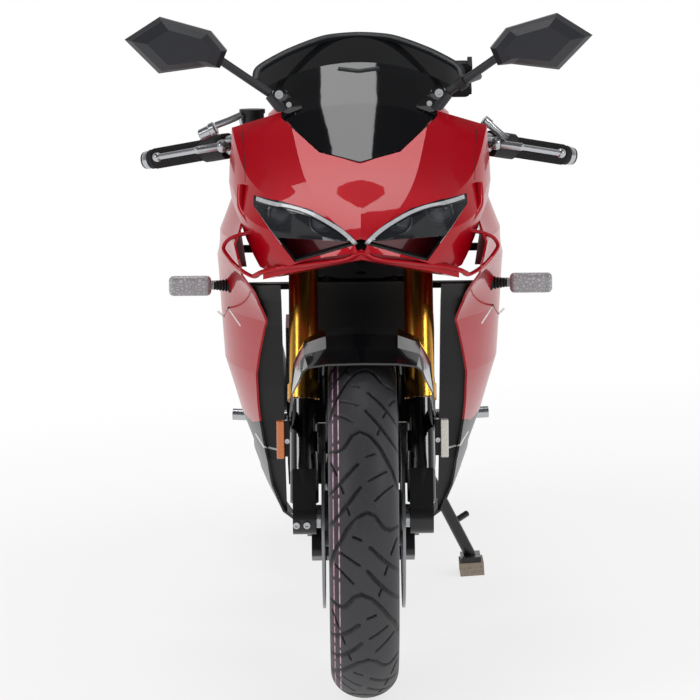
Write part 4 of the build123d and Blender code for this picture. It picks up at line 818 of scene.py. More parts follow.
@dataclass
class Repeater:
    """Sets one small shape on many marked points, by a node tree that realises and dresses them."""

    def solid(self, tree: bpy.types.NodeTree, shape: Shape, given: bpy.types.Node) -> bpy.types.NodeSocket:
        """Adds the nodes that make one shape from the size inputs.

        Args:
            tree: The node group.
            shape: The shape.
            given: The group's input node.

        Returns:
            The geometry socket.
        """
        long, wide, high = (given.outputs[name] for name in ("Length", "Width", "Height"))
        size = add(tree, "ShaderNodeCombineXYZ", {"X": long, "Y": wide, "Z": high}).outputs[0]
        if shape is Shape.BLOCK:
            return add(tree, "GeometryNodeMeshCube", {"Size": size}).outputs["Mesh"]
        if shape is Shape.SEED:
            ball = add(tree, "GeometryNodeMeshUVSphere", {"Segments": 8, "Rings": 5, "Radius": 0.5})
            return add(tree, "GeometryNodeTransform", {
                "Geometry": ball.outputs["Mesh"], "Scale": size}).outputs[0]
        half = add(tree, "ShaderNodeMath", {0: wide, 1: 0.5}, operation="MULTIPLY").outputs[0]
        disc = add(tree, "GeometryNodeMeshCylinder", {
            "Vertices": 16, "Radius": half, "Depth": high}).outputs["Mesh"]
        if shape is Shape.ROUND:
            return disc
        if shape is Shape.HEAD:
            small = add(tree, "ShaderNodeMath", {0: wide, 1: 0.27}, operation="MULTIPLY").outputs[0]
            cut = add(tree, "GeometryNodeMeshCylinder", {"Vertices": 6, "Radius": small, "Depth": high})
            lift = add(tree, "ShaderNodeMath", {0: high, 1: 0.5}, operation="MULTIPLY").outputs[0]
            lift = add(tree, "ShaderNodeCombineXYZ", {"Z": lift}).outputs[0]
            moved = add(tree, "GeometryNodeTransform", {"Geometry": cut.outputs["Mesh"], "Translation": lift})
            return add(tree, "GeometryNodeMeshBoolean", {"Mesh 1": disc, "Mesh 2": moved.outputs[0]},
                       operation="DIFFERENCE").outputs[0]
        joined = add(tree, "GeometryNodeJoinGeometry")
        narrow = add(tree, "ShaderNodeMath", {0: wide, 1: 0.72}, operation="MULTIPLY").outputs[0]
        bar = add(tree, "ShaderNodeCombineXYZ", {"X": long, "Y": narrow, "Z": high}).outputs[0]
        tree.links.new(add(tree, "GeometryNodeMeshCube", {"Size": bar}).outputs["Mesh"], joined.inputs[0])
        for sign in (-0.5, 0.5):
            reach = add(tree, "ShaderNodeMath", {0: long, 1: sign}, operation="MULTIPLY").outputs[0]
            reach = add(tree, "ShaderNodeCombineXYZ", {"X": reach}).outputs[0]
            end = add(tree, "GeometryNodeTransform", {"Geometry": disc, "Translation": reach})
            tree.links.new(end.outputs[0], joined.inputs[0])
        return joined.outputs[0]

    def group(self, shape: Shape, finish: Finish) -> bpy.types.NodeTree:
        """Builds the node group of a shape and finish, or finds it if it is already built.

        Args:
            shape: The repeated shape.
            finish: Its finish.

        Returns:
            The node group.
        """
        name = shape.name.lower() + "_" + finish.name
        tree = bpy.data.node_groups.get(name)
        if tree:
            return tree
        tree = bpy.data.node_groups.new(name, "GeometryNodeTree")
        tree.interface.new_socket(name="Geometry", in_out="INPUT", socket_type="NodeSocketGeometry")
        for size, default in (("Length", 0.01), ("Width", 0.01), ("Height", 0.003)):
            socket = tree.interface.new_socket(name=size, in_out="INPUT", socket_type="NodeSocketFloat")
            socket.default_value = default
        tree.interface.new_socket(name="Geometry", in_out="OUTPUT", socket_type="NodeSocketGeometry")
        given = add(tree, "NodeGroupInput")
        made = self.solid(tree, shape, given)
        up, along = (add(tree, "GeometryNodeInputNamedAttribute", {"Name": name},
                         data_type="FLOAT_VECTOR").outputs[0] for name in ("up", "along"))
        turned = add(tree, "FunctionNodeAlignRotationToVector", {"Vector": up}, axis="Z").outputs[0]
        turned = add(tree, "FunctionNodeAlignRotationToVector", {"Rotation": turned, "Vector": along},
                     axis="X", pivot_axis="Z").outputs[0]
        placed = add(tree, "GeometryNodeInstanceOnPoints", {
            "Points": given.outputs["Geometry"], "Instance": made, "Rotation": turned})
        real = add(tree, "GeometryNodeRealizeInstances", {"Geometry": placed.outputs[0]})
        dressed = add(tree, "GeometryNodeSetMaterial", {
            "Geometry": real.outputs[0], "Material": finish.build()})
        add(tree, "NodeGroupOutput", {"Geometry": dressed.outputs[0]})
        return tree

    def place(self, shop: Workshop, name: str, body: Body, finish: Finish, shape: Shape,
              size_mm: tuple[float, float, float], marks: list[Mark], smooth: bool = False,
              replaces: tuple[str, ...] = ()) -> None:
        """Puts a shape at every mark and turns the whole into one piece.

        Args:
            shop: The workshop.
            name: The piece's name.
            body: The body it rides on.
            finish: Its finish.
            shape: The repeated shape.
            size_mm: Its length, width and height.
            marks: Where the shapes go, in the drawing frame.
            smooth: Whether the shapes shade smooth.
            replaces: CAD nodes that the piece stands for.
        """
        mesh = bpy.data.meshes.new(name)
        turn = DRAWING.to_3x3().normalized()
        mesh.from_pydata([DRAWING @ Vector(mark.place) for mark in marks], [], [])
        for layer in ("up", "along"):
            stored = mesh.attributes.new(layer, "FLOAT_VECTOR", "POINT")
            for item, mark in zip(stored.data, marks):
                item.vector = turn @ Vector(getattr(mark, layer)).normalized()
        host = bpy.data.objects.new(name + "_points", mesh)
        bpy.context.scene.collection.objects.link(host)
        tree = self.group(shape, finish)
        modifier = host.modifiers.new("repeat", "NODES")
        modifier.node_group = tree
        names = {s.name: s.identifier for s in tree.interface.items_tree if s.in_out == "INPUT"}
        for label, value in zip(("Length", "Width", "Height"), size_mm):
            modifier[names[label]] = value / 1000
        depsgraph = bpy.context.evaluated_depsgraph_get()
        plain = bpy.data.meshes.new_from_object(host.evaluated_get(depsgraph), depsgraph=depsgraph)
        bpy.data.objects.remove(host)
        shop.piece(name, plain, finish, body, smooth=smooth, replaces=replaces)


@dataclass
class Skin:
    """The CAD surface of some nodes, on which trim is laid."""

    nodes: tuple[str, ...]
    tree: BVHTree = field(init=False)

    def __post_init__(self) -> None:
        """Gathers the nodes' faces in the drawing frame."""
        back = DRAWING.inverted()
        verts: list[Vector] = []
        faces: list[list[int]] = []
        for name in self.nodes:
            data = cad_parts[name].data
            start = len(verts)
            verts.extend(back @ vert.co for vert in data.vertices)
            faces.extend([start + i for i in polygon.vertices] for polygon in data.polygons)
        self.tree = BVHTree.FromPolygons(verts, faces)

    def lay(self, points: list[Vector], way: tuple[float, float, float] = (0.0, 1.0, 0.0),
            reach: float = 60.0) -> list[tuple[Vector, Vector]]:
        """Moves points along a direction onto the surface.

        Args:
            points: The points, near the surface.
            way: The direction they are looked at from.
            reach: How far off they may be, in millimetres.

        Returns:
            (point, normal) pairs; a point with nothing near keeps its place.
        """
        look = Vector(way).normalized()
        laid: list[tuple[Vector, Vector]] = []
        for point in points:
            hit, normal, _, _ = self.tree.ray_cast(point - look * reach, look, 2 * reach)
            if hit is None:
                laid.append((point, laid[-1][1] if laid else -look))
            else:
                laid.append((hit, -normal if normal.dot(look) > 0 else normal))
        return laid


@dataclass
class NoseTrim:
    """Light guides, struts, lip, intake rings, seam lines of painted shade, and stripes.

    The tables hold (x, y, z) points of the left side, in drawing millimetres.
    """

    guide: tuple = ((8, -118, 756), (14, -110, 762.5), (27, -95, 772.5), (40, -80, 780.5), (60, -62, 791),
                    (80, -46, 800), (104, -30, 807.5), (128, -14, 812), (150, 0, 815.5), (167, 8, 819))
    strut: tuple = ((194, 44, 838), (195, 40, 820), (194, 34, 802), (184, 24, 786), (172, 14, 771),
                    (140, -14, 742), (110, -40, 716))
    lip: tuple = ((-21, -114, 732.5), (0, -120, 742.5), (21, -114, 732.5), (44, -101, 727), (66, -86, 723.5),
                  (110, -52, 714.5), (140, -34, 708), (160, -20, 701.5), (172, -4, 694))
    ring: tuple = ((160, -18, 702), (172, -2, 692.5), (188, 14, 697), (204, 27, 708), (217, 38, 722),
                   (224, 44, 734), (218, 43, 746), (205, 38, 754), (188, 30, 759), (172, 20, 761),
                   (156, 8, 758))
    seam: tuple = ((193, 80, 918), (190, 60, 890), (187.5, 40, 862), (186.5, 26, 842))
    side_line: tuple = ((240, 160, 616), (228, 160, 604.5), (216, 160, 592.5), (204.5, 160, 580.5))
    belly_line: tuple = ((184, 270, 382), (175, 270, 374), (166.5, 280, 367), (155, 290, 363),
                         (143.5, 300, 360))

    def build(self, shop: Workshop) -> None:
        """Makes the nose's trim.

        Args:
            shop: The workshop.
        """
        lens = Skin(("headlight_lenses", "nose_cowl"))
        shell = Skin(("nose_cowl", "side_fairing_left"))
        lower = Skin(("belly_pan", "side_fairing_left", "inner_panels"))
        guide = lens.lay(shop.curve(self.guide))
        shop.piece("light_guides", shop.mirrored(shop.ribbon(guide, shop.flat(6.4, 1.2))), LIGHT_GUIDE,
                   Body.CHASSIS)
        under = lens.lay([point - Vector((0.0, 0.0, 5.0)) for point in shop.curve(self.guide)[4:]])
        shop.piece("lens_gaskets", shop.mirrored(shop.ribbon(under, shop.flat(2.0, 1.0))), BLACK_GLOSS,
                   Body.CHASSIS)
        out = Vector((0.35, -0.9, 0.0)).normalized()
        strut = [(point, out) for point in shop.curve(self.strut)]
        lip = [(point, Vector((0.0, -1.0, 0.15)).normalized()) for point in shop.curve(self.lip)]
        ring = [(point, Vector((0.0, -1.0, 0.0))) for point in shop.curve(self.ring)]
        for name, line, width, height in (("lamp_struts", strut, 12.0, 10.0), ("lip_bead", lip, 8.0, 9.0),
                                          ("intake_rings", ring, 6.5, 10.0)):
            drawn = shop.ribbon(line, self.oval(width, height))
            shop.piece(name, shop.mirrored(drawn), RED_PAINT, Body.CHASSIS)
        # The seams are thin black strips on the unbroken shell: painted shade for the gaps between panels
        seam = shell.lay(shop.curve(self.seam))
        shop.piece("nose_seam_shade_lines", shop.mirrored(shop.ribbon(seam, shop.flat(1.3, 0.25))), BLACK_PLASTIC,
                   Body.CHASSIS)
        side = Skin(("side_fairing_left",))
        line = [(point, -out) for point, _ in side.lay(shop.curve(self.side_line), reach=140.0)]
        drawn = shop.ribbon(line, shop.flat(3.0, 0.6))
        belly = [(point, -out) for point, _ in lower.lay(shop.curve(self.belly_line), reach=160.0)]
        shop.ribbon(belly, shop.flat(3.4, 0.6), drawn)
        shop.piece("white_stripes", shop.mirrored(drawn), WHITE_FILM, Body.CHASSIS)

    def oval(self, width: float, height: float, steps: int = 14) -> list[tuple[float, float]]:
        """Gives an oval section."""
        return [(width / 2 * math.cos(math.tau * k / steps), height / 2 * math.sin(math.tau * k / steps))
                for k in range(steps)]


@dataclass
class LampInside:
    """The glass and rims of the projector units behind the lenses."""

    projectors: tuple = ((127.0, -15.0, 796.0), (60.0, -43.0, 786.0))
    # (height, radius) pairs
    dome: tuple = ((-1, 18.9), (2, 18.2), (5, 16.6), (8, 13.6), (10, 9.6), (11.4, 4.6), (11.8, 0))
    rim: tuple = ((-2, 23.0), (1.6, 23.0), (2.4, 21.8), (1.8, 20.0), (-2, 19.4))

    def build(self, shop: Workshop) -> None:
        """Makes the projector lenses and their rims.

        Args:
            shop: The workshop.
        """
        glass = bmesh.new()
        rims = bmesh.new()
        for place in self.projectors:
            shop.turned(place, (0, -1, 0), list(self.dome), 32, glass)
            shop.turned(place, (0, -1, 0), list(self.rim), 36, rims)
        shop.piece("projector_lenses", shop.mirrored(glass), PROJECTOR, Body.CHASSIS)
        shop.piece("projector_rims", shop.mirrored(rims), LAMP_RIM, Body.CHASSIS)


@dataclass
class ScreenTrim:
    """The windscreen's edge band and raised pad."""

    edge: tuple = ((172, 182, 1001), (166, 205, 1018), (133, 232, 1037), (100, 252, 1051), (60, 275, 1064),
                   (30, 285, 1068), (0, 289, 1069.5))

    def build(self, shop: Workshop) -> None:
        """Makes the band and the pad.

        Args:
            shop: The workshop.
        """
        screen = Skin(("windscreen",))
        band = [(point, Vector((0.0, -0.55, 0.83))) for point in shop.curve(self.edge)]
        section = [(-6.0, -4.5), (6.0, -4.5), (6.0, 1.5), (4.0, 2.6), (-4.0, 2.6), (-6.0, 1.5)]
        shop.piece("screen_edge_band", shop.mirrored(shop.ribbon(band, section)), SCREEN_BAND, Body.CHASSIS)
        line = screen.lay([Vector((x, 190, 1012.0 + abs(x) * 0.12)) for x in range(-34, 35, 4)], reach=120.0)
        shop.piece("screen_pad", shop.ribbon(line, shop.bead(9.0, 2.2)), SCREEN_BAND, Body.CHASSIS)


@dataclass
class MirrorTrim:
    """The feet that hold the mirrors' arms."""

    def build(self, shop: Workshop, repeater: Repeater) -> None:
        """Makes the feet, their brackets and their bolts.

        Args:
            shop: The workshop.
            repeater: Sets the bolts.
        """
        foot = bmesh.new()
        for start, end, radius in (((113, 143, 956), (113, 152, 956), 17.0),
                                   ((131, 141, 977), (131, 152, 977), 13.0)):
            way = Vector(end) - Vector(start)
            shop.turned(start, tuple(way), [(0, radius * 0.8), (1.5, radius), (way.length, radius)], 28, foot)
        corners = [(100, 944), (118, 940), (136, 962), (143, 980), (126, 986), (104, 966)]
        drawn = shop.plate(corners, 144, 153, "Y")
        shop.piece("mirror_feet", shop.mirrored(foot), BLACK_GLOSS, Body.CHASSIS)
        shop.piece("mirror_brackets", shop.mirrored(drawn), BLACK_METAL, Body.CHASSIS, bevel_mm=1.2)
        for name, (x, y, z), size in (("mirror_bolts_large", (132.0, 139.0, 978.0), (14, 14, 6)),
                                      ("mirror_bolts_small", (116.0, 141.0, 961.0), (9, 9, 5))):
            marks = [Mark((sign * x, y, z), (0, -1, 0)) for sign in (-1.0, 1.0)]
            repeater.place(shop, name, Body.CHASSIS, BRIGHT_METAL, Shape.HEAD, size, marks)


@dataclass
class Controls:
    """Bar ends, grip ribs, master cylinder and clutch perch."""

    tip: tuple[float, float, float] = (362.0, 432.0, 850.0)
    run: tuple[float, float, float] = (236.0, 156.0, -50.0)

    def at(self, back: float, side: float = 1.0) -> Vector:
        """Finds the point of a bar this far back from its end, on the left (1) or right (-1)."""
        point = Vector(self.tip) - Vector(self.run).normalized() * back
        return Vector((side * point.x, point.y, point.z))

    def build(self, shop: Workshop, repeater: Repeater) -> None:
        """Makes the small parts on the bars.

        Args:
            shop: The workshop.
            repeater: Sets the grip ribs.
        """
        ends = shop.turned(tuple(self.at(1.0)), self.run,
                           [(0, 14), (2, 16), (10, 16), (13, 14.5), (14, 11)], 28)
        shop.piece("bar_end_weights", shop.mirrored(ends), BRIGHT_METAL, Body.STEERING)
        marks = []
        for side in (-1.0, 1.0):
            way = Vector(self.run)
            way.x *= side
            marks += [Mark(tuple(self.at(10.0 + 5.5 * k, side)), tuple(way), (0, 0, 1)) for k in range(19)]
        repeater.place(shop, "grip_ribs", Body.STEERING, RUBBER, Shape.ROUND, (36, 36.4, 2.6), marks)
        cylinder = shop.turned((-272, 312, 899), (0.86, -0.2, 0.42),
                               [(0, 8), (2, 10), (20, 10), (22, 12), (30, 12), (32, 9)], 24)
        shop.tube([(-244, 300, 917), (-222, 299, 925), (-201, 300, 934)], 6.0, 12, cylinder)
        shop.tube([(-201, 300, 934), (-198, 304, 918)], 5.0, 10, cylinder)
        shop.piece("master_cylinder", cylinder, BRIGHT_METAL, Body.STEERING)
        perch = shop.turned((212, 298, 923), (0.72, 0.1, -0.62),
                            [(0, 7), (2, 9), (14, 9), (16, 6.5), (46, 6.0), (52, 8)], 24)
        shop.piece("clutch_perch", perch, BRIGHT_METAL, Body.STEERING)


@dataclass
class Indicators:
    """The rubber bellows between the fairing and each front indicator."""

    y: float = 253.9
    z: float = 648.0

    def build(self, shop: Workshop) -> None:
        """Makes the bellows.

        Args:
            shop: The workshop.
        """
        profile = [(0, 13.0)]
        for k in range(5):
            profile += [(2 + 5 * k, 12.5 - k), (4.5 + 5 * k, 9.0 - 0.6 * k)]
        profile.append((27, 8.0))
        drawn = shop.turned((222, self.y, self.z), (1, 0, 0), profile, 24)
        shop.piece("indicator_bellows", shop.mirrored(drawn), RUBBER, Body.CHASSIS)


@dataclass
class ForkTrim:
    """Clamp screws, reflectors and the wheel spacers."""

    def build(self, shop: Workshop, repeater: Repeater) -> None:
        """Makes the fork's small parts.

        Args:
            shop: The workshop.
            repeater: Sets the screws and bolts.
        """
        marks = [Mark((x, -28.0, 287.0), (0.0, -1.0, 0.0)) for x in (-109.0, -92.0)]
        repeater.place(shop, "axle_clamp_screws", Body.STEERING, BRIGHT_METAL, Shape.HEAD, (11, 11, 8), marks)
        spacers = shop.turned((68.6, 0.0, FRONT_RADIUS), (1, 0, 0),
                              [(0, 15.0), (1, 16.0), (7.6, 16.0), (8.2, 15.0)], 32)
        shop.piece("wheel_spacers", shop.mirrored(spacers), BRIGHT_METAL, Body.STEERING)
        for name, side, finish in (("amber_reflector", -1.0, AMBER),
                                   ("white_reflector", 1.0, WHITE_REFLECTOR)):
            low, high = sorted((side * 127.0, side * 139.5))
            drawn = shop.block((low, -22.0, 396.0), (high, -6.0, 458.0))
            shop.piece(name, drawn, finish, Body.STEERING, bevel_mm=1.5)
        back = shop.block((118.5, -14.0, 398.0), (127.2, -3.0, 456.0))
        shop.piece("reflector_backs", shop.mirrored(back), BLACK_PLASTIC, Body.STEERING, bevel_mm=1.0)
        marks = [Mark((side * 122.5, -15.0, 424.0), (0.0, -1.0, 0.0)) for side in (-1.0, 1.0)]
        repeater.place(shop, "reflector_bolts", Body.STEERING, BRIGHT_METAL, Shape.HEAD, (8, 8, 4), marks)


@dataclass
class Pad:
    """A padded seat: foam under embossed vinyl, with a piped seam and a row of stitches round its side."""

    name: str
    node: str
    # Where the seam's loop has its middle, along the bike and in height, and its half width and half length
    middle: tuple[float, float]
    reach: tuple[float, float]
    seam_drop: float
    inset_mm: float = 3.5
    swell_mm: float = 6.0
    # The swelling comes in over this height above the pad's foot, and this share of it is kept
    fade_mm: float = 20.0
    kept_share: float = 0.6
    voxel_mm: float = 6.0
    pressure: float = 4.0
    frames: int = 20

    def form(self) -> bpy.types.Mesh:
        """Remeshes the seat's space a little smaller and swells it as foam under tight vinyl.

        Returns:
            The pad's mesh, in place.
        """
        drawn = bmesh.new()
        drawn.from_mesh(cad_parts[self.node].data)
        bmesh.ops.remove_doubles(drawn, verts=drawn.verts, dist=1e-5)
        bmesh.ops.recalc_face_normals(drawn, faces=drawn.faces)
        drawn.normal_update()
        for vert in drawn.verts:
            vert.co -= vert.normal * (self.inset_mm / 1000)
        data = bpy.data.meshes.new(self.name + "_start")
        drawn.to_mesh(data)
        drawn.free()
        host = bpy.data.objects.new(self.name + "_start", data)
        bpy.context.scene.collection.objects.link(host)
        remesh = host.modifiers.new("voxels", "REMESH")
        remesh.mode = "VOXEL"
        remesh.voxel_size = self.voxel_mm / 1000
        self.bake(host)
        self.swell(host)
        relax = host.modifiers.new("relax", "SMOOTH")
        relax.factor = 0.5
        relax.iterations = 4
        fine = host.modifiers.new("fine", "SUBSURF")
        fine.levels = fine.render_levels = 1
        self.bake(host)
        made = host.data
        bpy.data.objects.remove(host)
        return made

    def bake(self, host: bpy.types.Object) -> None:
        """Applies the object's modifiers to its mesh.

        Args:
            host: The object.
        """
        depsgraph = bpy.context.evaluated_depsgraph_get()
        made = bpy.data.meshes.new_from_object(host.evaluated_get(depsgraph), depsgraph=depsgraph)
        host.modifiers.clear()
        host.data = made

    def swell(self, host: bpy.types.Object) -> None:
        """Blows the cover up by cloth pressure and keeps each point near its start.

        Args:
            host: The object, in its starting shape.
        """
        start = [vert.co.copy() for vert in host.data.vertices]
        low = min(point.z for point in start)
        cloth = host.modifiers.new("cover", "CLOTH")
        cloth.settings.use_pressure = True
        cloth.settings.uniform_pressure_force = self.pressure
        cloth.settings.effector_weights.gravity = 0.0
        for number in range(1, self.frames + 1):
            bpy.context.scene.frame_set(number)
        depsgraph = bpy.context.evaluated_depsgraph_get()
        blown = host.evaluated_get(depsgraph).to_mesh()
        moved = [vert.co.copy() for vert in blown.vertices]
        host.evaluated_get(depsgraph).to_mesh_clear()
        host.modifiers.clear()
        bpy.context.scene.frame_set(1)
        cap = self.swell_mm / 1000
        for vert, old, new in zip(host.data.vertices, start, moved):
            step = new - old
            share = min(1.0, (old.z - low) / (self.fade_mm / 1000))
            if step.length > cap:
                step = step * (cap / step.length)
            vert.co = old + step * share * self.kept_share

    def outline(self, drop: float, count: int = 120) -> list[tuple[Vector, Vector]]:
        """Finds a loop round the pad's side, a drop below its crown.

        Args:
            drop: How far below the crown, in millimetres.
            count: How many points the loop has.

        Returns:
            (point, normal) pairs.
        """
        skin = Skin((self.node,))
        loop: list[tuple[Vector, Vector]] = []
        for k in range(count):
            angle = math.tau * k / count
            out = Vector((math.cos(angle) * self.reach[0], math.sin(angle) * self.reach[1], 0.0))
            middle = Vector((0.0, self.middle[0] + out.y * 0.8, 0.0))
            crown, _, _, _ = skin.tree.ray_cast(Vector((0.0, middle.y, 2000.0)), Vector((0.0, 0.0, -1.0)))
            height = (crown.z if crown else self.middle[1]) - drop
            start = Vector((0.0, self.middle[0], height)) + out * 1.6
            hit, normal, _, _ = skin.tree.ray_cast(start, -out.normalized())
            if hit:
                loop.append((hit, normal if normal.dot(out) > 0 else -normal))
        return loop

    def build(self, shop: Workshop, repeater: Repeater) -> None:
        """Makes the pad, its piping and its stitches.

        Args:
            shop: The workshop.
            repeater: Sets the stitches.
        """
        made = shop.piece(self.name, self.form(), VINYL, Body.CHASSIS, replaces=(self.node,))
        piping = self.outline(self.seam_drop)
        shop.piece(self.name + "_piping", shop.ribbon(piping, shop.bead(4.0, 2.2), closed=True), RUBBER,
                   Body.CHASSIS)
        stitched = self.outline(self.seam_drop - 7.0, 240)
        marks = []
        for (point, normal), (after, _) in zip(stitched, stitched[1:] + stitched[:1]):
            marks.append(Mark(tuple(point + normal * 0.4), tuple(normal), tuple(after - point)))
        repeater.place(shop, self.name + "_stitches", Body.CHASSIS, THREAD, Shape.SEED, (4.2, 1.2, 1.1),
                       marks, True)


@dataclass
class Chain:
    """The drive chain: rollers, inner plates and outer plates along the loop round both sprockets."""

    front: tuple[float, float] = (764.0, 400.0)
    front_radius: float = 34.0
    rear: tuple[float, float] = (WHEELBASE, REAR_RADIUS)
    rear_radius: float = 85.0
    middle: float = 92.0
    pitch: float = 15.875

    def loop(self) -> list[tuple[Vector, Vector]]:
        """Steps round the loop link by link.

        Returns:
            (place, direction) pairs, one for each pin.
        """
        small, large = Vector(self.front), Vector(self.rear)
        span = large - small
        tilt = math.acos((self.front_radius - self.rear_radius) / span.length)
        base = math.atan2(span.y, span.x)
        points: list[Vector] = []
        for centre, radius, start, stop in ((small, self.front_radius, base + tilt, base + math.tau - tilt),
                                            (large, self.rear_radius, base - tilt, base + tilt)):
            for k in range(61):
                angle = start + (stop - start) * k / 60
                points.append(centre + radius * Vector((math.cos(angle), math.sin(angle))))
        points.append(points[0])
        lengths = [(b - a).length for a, b in zip(points, points[1:])]
        count = 2 * round(sum(lengths) / self.pitch / 2)
        step = sum(lengths) / count
        pins: list[tuple[Vector, Vector]] = []
        gone, leg = 0.0, 0
        for k in range(count):
            while gone + lengths[leg] < k * step:
                gone += lengths[leg]
                leg += 1
            share = (k * step - gone) / lengths[leg]
            flat = points[leg].lerp(points[leg + 1], share)
            way = (points[leg + 1] - points[leg]).normalized()
            pins.append((Vector((self.middle, flat.x, flat.y)), Vector((0.0, way.x, way.y))))
        return pins

    def build(self, shop: Workshop, repeater: Repeater) -> None:
        """Makes the chain.

        Args:
            shop: The workshop.
            repeater: Sets plates and rollers.
        """
        pins = self.loop()
        sideways = (1.0, 0.0, 0.0)
        rollers = [Mark(tuple(place), sideways, tuple(way)) for place, way in pins]
        repeater.place(shop, "chain_rollers", Body.CHASSIS, CHAIN_STEEL, Shape.ROUND, (10, 10, 9), rollers,
                       True, ("drive_chain",))
        repeater.place(shop, "chain_pins", Body.CHASSIS, CHAIN_STEEL, Shape.ROUND, (5, 5, 16), rollers, True)
        for name, offset, odd in (("chain_inner_plates", 5.2, 0), ("chain_outer_plates", 7.2, 1)):
            marks = []
            for k, (place, _) in enumerate(pins):
                after = pins[(k + 1) % len(pins)][0]
                if k % 2 == odd:
                    for side in (-offset, offset):
                        middle = (place + after) / 2 + Vector((side, 0.0, 0.0))
                        marks.append(Mark(tuple(middle), sideways, tuple(after - place)))
            repeater.place(shop, name, Body.CHASSIS, CHAIN_STEEL, Shape.PLATE, (self.pitch, 13.0, 1.7), marks)


@dataclass
class MetalDetail:
    """Radiator fins, disc drillings, the tank's cap with its screws, and mirror glasses."""

    def holes(self, middles: tuple[float, ...], radii: tuple[float, ...], centre: tuple[float, float],
              count: int = 24) -> list[Mark]:
        """Marks the drillings of brake discs.

        Args:
            middles: Where the discs' middle planes are across the bike.
            radii: The rings' radii.
            centre: The axle's place along the bike and its height.
            count: How many holes a ring has.

        Returns:
            The marks.
        """
        marks = []
        for middle in middles:
            for row, radius in enumerate(radii):
                for k in range(count):
                    angle = math.tau * (k + row / len(radii)) / count
                    along = centre[0] + radius * math.cos(angle)
                    height = centre[1] + radius * math.sin(angle)
                    marks.append(Mark((middle, along, height), (1.0, 0.0, 0.0)))
        return marks

    def glasses(self) -> bmesh.types.BMesh:
        """Draws both mirror glasses from the housings' rear faces, set in by their rims.

        Returns:
            The mesh.
        """
        drawn = bmesh.new()
        drawn.from_mesh(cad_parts["mirrors"].data)
        drawn.transform(DRAWING.inverted())
        bmesh.ops.remove_doubles(drawn, verts=drawn.verts, dist=0.01)
        bmesh.ops.recalc_face_normals(drawn, faces=drawn.faces)
        drawn.normal_update()
        away = [face for face in drawn.faces
                if face.normal.y < 0.9 or face.calc_center_median().y < 120
                or abs(face.calc_center_median().x) < 200]
        bmesh.ops.delete(drawn, geom=away, context="FACES")
        rim = bmesh.ops.inset_region(drawn, faces=drawn.faces[:], thickness=7.0,
                                     use_even_offset=True)["faces"]
        bmesh.ops.delete(drawn, geom=rim, context="FACES")
        bmesh.ops.translate(drawn, verts=drawn.verts, vec=(0.0, 0.9, 0.0))
        grown = bmesh.ops.extrude_face_region(drawn, geom=drawn.faces[:])["geom"]
        bmesh.ops.translate(drawn, verts=[g for g in grown if isinstance(g, bmesh.types.BMVert)],
                            vec=(0.0, -1.4, 0.0))
        return drawn

    def build(self, shop: Workshop, repeater: Repeater) -> None:
        """Makes the details.

        Args:
            shop: The workshop.
            repeater: Sets what repeats.
        """
        along = Vector((0.0, -26.0, 214.0)).normalized()
        fins = [Mark((x, 328.5, 537.0), (0.0, -0.99, -0.12), tuple(along)) for x in range(-112, 113, 4)]
        repeater.place(shop, "radiator_fins", Body.CHASSIS, CAST_ALLOY, Shape.BLOCK, (206, 1.0, 3.0), fins)
        front = self.holes((-64.75, 64.75), (121.0, 130.0, 139.0), (0.0, FRONT_RADIUS))
        repeater.place(shop, "front_disc_drillings", Body.FRONT_WHEEL, HOLE, Shape.ROUND, (6, 6, 4.7), front)
        rear = self.holes((-68.25,), (86.0, 94.0, 102.0), (WHEELBASE, REAR_RADIUS), 18)
        repeater.place(shop, "rear_disc_drillings", Body.REAR_WHEEL, HOLE, Shape.ROUND, (6, 6, 4.7), rear)
        down = Vector((0.0, 0.0, -1.0))
        top, up, _, _ = Skin(("fuel_tank",)).tree.ray_cast(Vector((0.0, 470.0, 2000.0)), down)
        profile = [(0, 46), (6, 46), (8, 44), (8.2, 30), (6.4, 28), (6.4, 8), (8, 6), (8, 0)]
        cap = shop.turned(tuple(top - up * 3), tuple(up), profile, 48)
        shop.piece("tank_cap", cap, BRIGHT_METAL, Body.CHASSIS)
        side = up.orthogonal().normalized()
        other = up.cross(side)
        screws = [Mark(tuple(top + up * 5.6 + 37.0 * (side * math.cos(a) + other * math.sin(a))), tuple(up))
                  for a in (math.tau * k / 6 for k in range(6))]
        repeater.place(shop, "tank_cap_screws", Body.CHASSIS, BRIGHT_METAL, Shape.HEAD, (6.5, 6.5, 3), screws)
        shop.piece("mirror_glasses", self.glasses(), MIRROR_GLASS, Body.CHASSIS, smooth=False)


@dataclass
class Dressing:
    """Gives every shown CAD node its finish."""

    def build(self) -> None:
        """Puts the finish's material on each node."""
        for name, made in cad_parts.items():
            finish = NODE_FINISH.get(name, BLACK_PLASTIC)
            made.data.materials.clear()
            made.data.materials.append(finish.build())
            for polygon in made.data.polygons:
                polygon.use_smooth = True
            made.data.set_sharp_from_angle(angle=math.radians(SHARP_CAD))
            log.info("%s: %s", name, finish.name)


WHITE = (1.0, 1.0, 1.0, 1.0)


